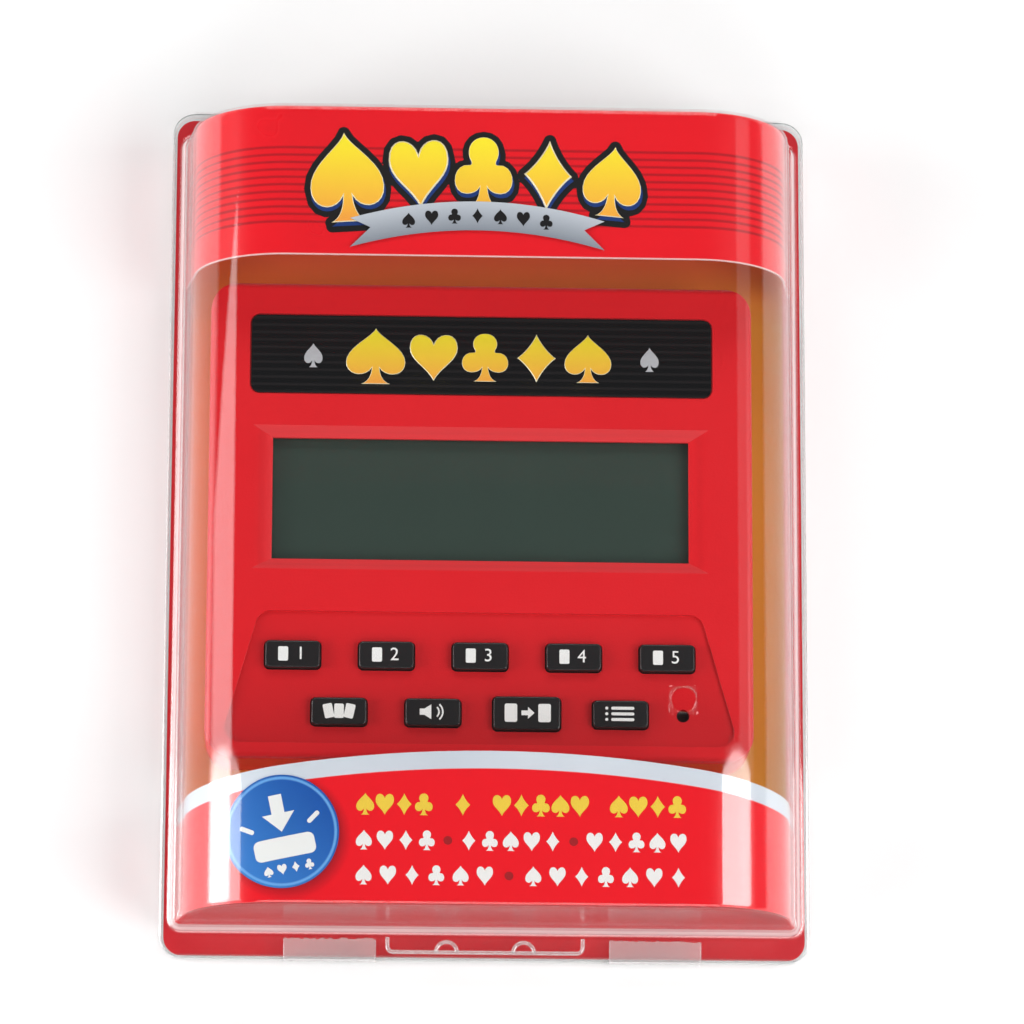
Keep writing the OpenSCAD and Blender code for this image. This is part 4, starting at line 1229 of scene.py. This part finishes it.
def ribbon_ink():
    material, nodes, surface = finish("ribbon_ink", SILVER, 0.35, metallic=0.2, **PRINT)
    x, y = object_place(nodes)[:2]
    side = maths(nodes, "DIVIDE", maths(nodes, "SUBTRACT", x, ribbon_x), RIBBON_HALF)
    bow = times(nodes, times(nodes, side, side), RIBBON_BOW)
    height = maths(nodes, "SUBTRACT", maths(nodes, "ADD", y, bow), ribbon_y)
    share = ramp(nodes, height, -RIBBON_WIDTH / 2, RIBBON_WIDTH / 2)
    paint(surface, mixed(nodes, share, (0.28, 0.31, 0.36), (0.62, 0.66, 0.72)))
    return material


piece_from(silver_ribbon(), "header_ribbon", "front_cover", "red_card", ribbon_ink())
pips = bmesh.new()
for i in range(7):
    x = ribbon_x + (i - 3) * 4.6 * MM
    suit = TITLE_SUITS[i % 4]
    add_sign(pips, suit_outline(suit), (x, ribbon_y + bow_at(x)), (2.7 * MM, 3.1 * MM),
             header_high.z + 0.45 * MM, header_high.z + 0.48 * MM)
piece_from(pips, "ribbon_pips", "front_cover", "red_card", black_ink)

# %% [markdown]
# ## Rows of pips on the lower card
# The lower card carries three rows of small suits, one yellow and two white, with dark dots between
# their groups. Each row is a list of group lengths, spread evenly over the row's width.

# %% Pip rows
ROW_SUITS = ("spade", "heart", "diamond", "club")
ROW_LEFT = -26.4 * MM
ROW_RIGHT = 38.4 * MM
ROUND_DOT = [(math.sin(math.radians(a)), math.cos(math.radians(a))) for a in range(0, 360, 20)]


def pip_row(signs, dots, y, groups, size):
    """Adds a row of suits to one bmesh, and the dots between its groups to another."""
    places = sum(groups) + len(groups) - 1
    pitch = (ROW_RIGHT - ROW_LEFT - size[0]) / (places - 1)
    base = lower_high.z + 0.02 * MM
    spot_number = 0
    for number, group in enumerate(groups):
        for i in range(group):
            x = ROW_LEFT + size[0] / 2 + spot_number * pitch
            suit = ROW_SUITS[(spot_number + number) % 4]
            add_sign(signs, suit_outline(suit), (x, y), size, base, base + 0.05 * MM)
            spot_number += 1
        if dots is not None and number < len(groups) - 1:
            x = ROW_LEFT + size[0] / 2 + spot_number * pitch
            add_sign(dots, ROUND_DOT, (x, y), (1.7 * MM, 1.7 * MM), base, base + 0.05 * MM)
        spot_number += 1


yellow_signs, white_signs, dark_dots = bmesh.new(), bmesh.new(), bmesh.new()
pip_row(yellow_signs, None, lower_high.y - 10.8 * MM, (4, 1, 5, 4), (3.7 * MM, 4.3 * MM))
pip_row(white_signs, dark_dots, lower_high.y - 17.9 * MM, (4, 5, 5), (3.3 * MM, 3.9 * MM))
pip_row(white_signs, dark_dots, lower_high.y - 24.8 * MM, (6, 7), (3.3 * MM, 3.9 * MM))
piece_from(yellow_signs, "pips_yellow", "front_cover", "red_card", yellow_ink)
piece_from(white_signs, "pips_white", "front_cover", "red_card", white_ink)
piece_from(dark_dots, "pips_dots", "front_cover", "red_card", maroon_ink)

# %% [markdown]
# ## Round sticker
# The sticker lies on the curved part of the card, so its picture has to bend with it. The picture
# is drawn flat, cut into narrow strips, and then each point is dropped onto the card's round
# corner. It shows a key with an arrow that presses it.

# %% Sticker


def card_height(x):
    """Height of the card's outer face at x, flat in the middle and round at the sides."""
    over = min(max(abs(x) - corner_x, 0), CARD_ROUND)
    return header_high.z - CARD_ROUND + math.sqrt(CARD_ROUND ** 2 - over ** 2)


def wrap_on_card(bm, lift):
    """Cuts a flat drawing into strips and drops it onto the card's face."""
    left = min(v.co.x for v in bm.verts)
    right = max(v.co.x for v in bm.verts)
    cuts = int((right - left) / MM)
    for i in range(1, cuts):
        x = left + (right - left) * i / cuts
        bmesh.ops.bisect_plane(bm, geom=bm.verts[:] + bm.edges[:] + bm.faces[:],
                               plane_co=(x, 0, 0), plane_no=(1, 0, 0))
    for v in bm.verts:
        v.co.z += card_height(v.co.x) + lift


def sticker_print():
    material, nodes, surface = finish("sticker_print", (0.02, 0.10, 0.44), 0.25, coat=0.4, **PRINT)
    x, y = object_place(nodes)[:2]
    reach = away_from(nodes, x, y, (sticker_x, sticker_y))
    rim = band(nodes, reach, sticker_radius - 0.9 * MM, sticker_radius - 0.4 * MM, 0.3 * MM)
    # Painted highlight: the blue is lighter towards the lower left and darker towards the upper
    # right. The pale rim is print.
    middle = sticker_x + sticker_y
    side = ramp(nodes, maths(nodes, "ADD", x, y), middle - 14 * MM, middle + 14 * MM)
    blue = mixed(nodes, side, (0.045, 0.22, 0.62), (0.012, 0.10, 0.42))
    paint(surface, mixed(nodes, rim, blue, (0.16, 0.42, 0.82)))
    return material


def rounded_bar(width, height, corner, steps=5):
    """Outline of a bar with round corners on a unit grid of its own size."""
    points = []
    for quarter, (sx, sy) in enumerate(((1, 1), (1, -1), (-1, -1), (-1, 1))):
        for i in range(steps + 1):
            angle = math.radians(90 * quarter + 90 * i / steps)
            x = sx * (width / 2 - corner) + corner * math.sin(angle)
            y = sy * (height / 2 - corner) + corner * math.cos(angle)
            points.append((2 * x / width, 2 * y / height))
    return points


def add_bar(bm, width, height, corner, place, low, high, tilt=0.0):
    """Adds a bar with round corners. Its three sizes are in mm."""
    size = (width * MM, height * MM)
    add_sign(bm, rounded_bar(width, height, corner), place, size, low, high, tilt=tilt)


ARROW = ((-0.4, 1), (0.4, 1), (0.4, 0.0), (1, 0.0), (0, -1), (-1, 0.0), (-0.4, 0.0))


def sticker_picture():
    bm = bmesh.new()
    tilt = math.radians(12)
    thick = 0.04 * MM

    def turned(x, y):
        spot = Matrix.Rotation(tilt, 2) @ Vector((x * MM, y * MM))
        return sticker_x + spot.x, sticker_y + spot.y

    add_bar(bm, 12, 4.2, 1.2, turned(0, -3.2), 0, thick, tilt)
    add_sign(bm, ARROW, turned(0, 3.6), (6.4 * MM, 7.4 * MM), 0, thick, tilt=tilt)
    for side in (-1, 1):
        add_bar(bm, 3.0, 0.9, 0.4, turned(side * 6.6, 1.6), 0, thick,
                tilt + side * math.radians(35))
    for i, suit in enumerate(ROW_SUITS):
        place = turned((i - 1.5) * 2.7, -7.4)
        add_sign(bm, suit_outline(suit), place, (1.9 * MM, 2.1 * MM), 0, thick, tilt=tilt)
    wrap_on_card(bm, 0.22 * MM)
    return bm


coat_nodes(sticker_print(), "round_sticker")
piece_from(sticker_picture(), "sticker_picture", "front_cover", "blue_sticker", white_ink)

# %% [markdown]
# ## Signs on the keys
# Each key has one white sign on its top and rides with its own key. The five upper keys carry the
# numbers of the cards that they hold, beside a little card. The lower ones show cards, a speaker,
# a deal arrow and a score list. Numbers come from a text object that is turned into a mesh.

# %% Key signs


def add_number(bm, text, place, height, low, high):
    """Adds a printed number, between two heights."""
    words = bpy.data.curves.new("number", "FONT")
    words.body = text
    words.size = height / 0.73
    words.align_x = "CENTER"
    words.align_y = "CENTER"
    words.fill_mode = "FRONT"
    holder = bpy.data.objects.new("number", words)
    flat = bpy.data.meshes.new_from_object(holder)
    bpy.data.objects.remove(holder)
    made = bmesh.new()
    made.from_mesh(flat)
    bmesh.ops.remove_doubles(made, verts=made.verts, dist=1e-6)
    thick = bmesh.ops.extrude_face_region(made, geom=made.faces[:])["geom"]
    bmesh.ops.translate(made, vec=(0, 0, high - low), verts=only(BMVert, thick))
    bmesh.ops.translate(made, vec=(place[0], place[1], low), verts=made.verts)
    bmesh.ops.recalc_face_normals(made, faces=made.faces)
    made.to_mesh(flat)
    made.free()
    bm.from_mesh(flat)


def key_top(node):
    low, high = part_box(node)
    return (low.x + high.x) / 2, (low.y + high.y) / 2, high.z


def card_sign(bm, x, y, low, high, size=(2.0 * MM, 2.9 * MM)):
    add_sign(bm, rounded_bar(2.0, 2.9, 0.3), (x, y), size, low, high)


def hold_sign(bm, x, y, low, high, number):
    card_sign(bm, x - 1.9 * MM, y, low, high)
    add_number(bm, str(number), (x + 1.6 * MM, y), 2.7 * MM, low, high)


def game_sign(bm, x, y, low, high):
    for i in range(3):
        add_bar(bm, 1.9, 2.9, 0.3, (x + (i - 1) * 2.1 * MM, y), low, high,
                math.radians(12 * (1 - i)))


def sound_sign(bm, x, y, low, high):
    horn = ((-1, 0.42), (-0.2, 0.42), (1, 1), (1, -1), (-0.2, -0.42), (-1, -0.42))
    add_sign(bm, horn, (x - 1.5 * MM, y), (2.3 * MM, 3.0 * MM), low, high)
    for i in (1, 2):
        outer = (0.7 + 0.75 * i) * MM
        inner = outer - 0.32 * MM
        turns = [math.radians(a) for a in range(-48, 49, 12)]
        wave = [(2 * outer * math.cos(a), 2 * outer * math.sin(a)) for a in turns]
        wave += [(2 * inner * math.cos(a), 2 * inner * math.sin(a)) for a in reversed(turns)]
        add_sign(bm, wave, (x - 0.1 * MM, y), (1, 1), low, high)


def deal_sign(bm, x, y, low, high):
    card_sign(bm, x - 3.2 * MM, y, low, high, (2.5 * MM, 3.7 * MM))
    sideways = [(-py, px) for px, py in ARROW]
    add_sign(bm, sideways, (x + 0.2 * MM, y), (2.6 * MM, 2.4 * MM), low, high)
    card_sign(bm, x + 3.5 * MM, y, low, high, (2.5 * MM, 3.7 * MM))


def score_sign(bm, x, y, low, high):
    for i in range(3):
        line_y = y + (1 - i) * 1.15 * MM
        add_bar(bm, 0.6, 0.6, 0.28, (x - 2.8 * MM, line_y), low, high)
        add_bar(bm, 4.6, 0.6, 0.28, (x + 0.4 * MM, line_y), low, high)


def key_cap(node):
    """A key: a rounded cap, the lip that holds it in the face, and the stem under it."""
    low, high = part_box(node)
    lip = 0.8 * MM
    corner = 0.9 * MM
    lip_top = high.z - 2.95 * MM
    bm = slab((low.x + lip, low.y + lip, lip_top), (high.x - lip, high.y - lip, high.z), corner,
              edge=0.38 * MM, steps=5)
    whole = bpy.data.meshes.new("part")
    middle = (low + high) / 2
    reach = (high - low) / 2 - Vector((lip, lip, 0))
    stem_low = (middle.x - reach.x / 2, middle.y - reach.y / 2, low.z)
    stem_high = (middle.x + reach.x / 2, middle.y + reach.y / 2, lip_top - lip)
    for part in (slab((low.x, low.y, lip_top - lip), (high.x, high.y, lip_top), corner),
                 slab(stem_low, stem_high, 0.6 * MM)):
        part.to_mesh(whole)
        part.free()
        bm.from_mesh(whole)
    bpy.data.meshes.remove(whole)
    return bm


KEY_SIGNS = {
    "key_game": game_sign,
    "key_sound": sound_sign,
    "key_deal": deal_sign,
    "key_score": score_sign,
}
for key in sorted(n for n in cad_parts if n.startswith("key_")):
    x, y, top = key_top(key)
    piece_from(key_cap(key), key.replace("key_", "cap_"), key, "key_plastic", key_plastic, key)
    bm = bmesh.new()
    sign_low, sign_high = top + 0.005 * MM, top + 0.03 * MM
    if key in KEY_SIGNS:
        KEY_SIGNS[key](bm, x, y, sign_low, sign_high)
    else:
        hold_sign(bm, x, y, sign_low, sign_high, key[-1])
    piece_from(bm, "sign_" + key, key, "key_plastic", key_print)
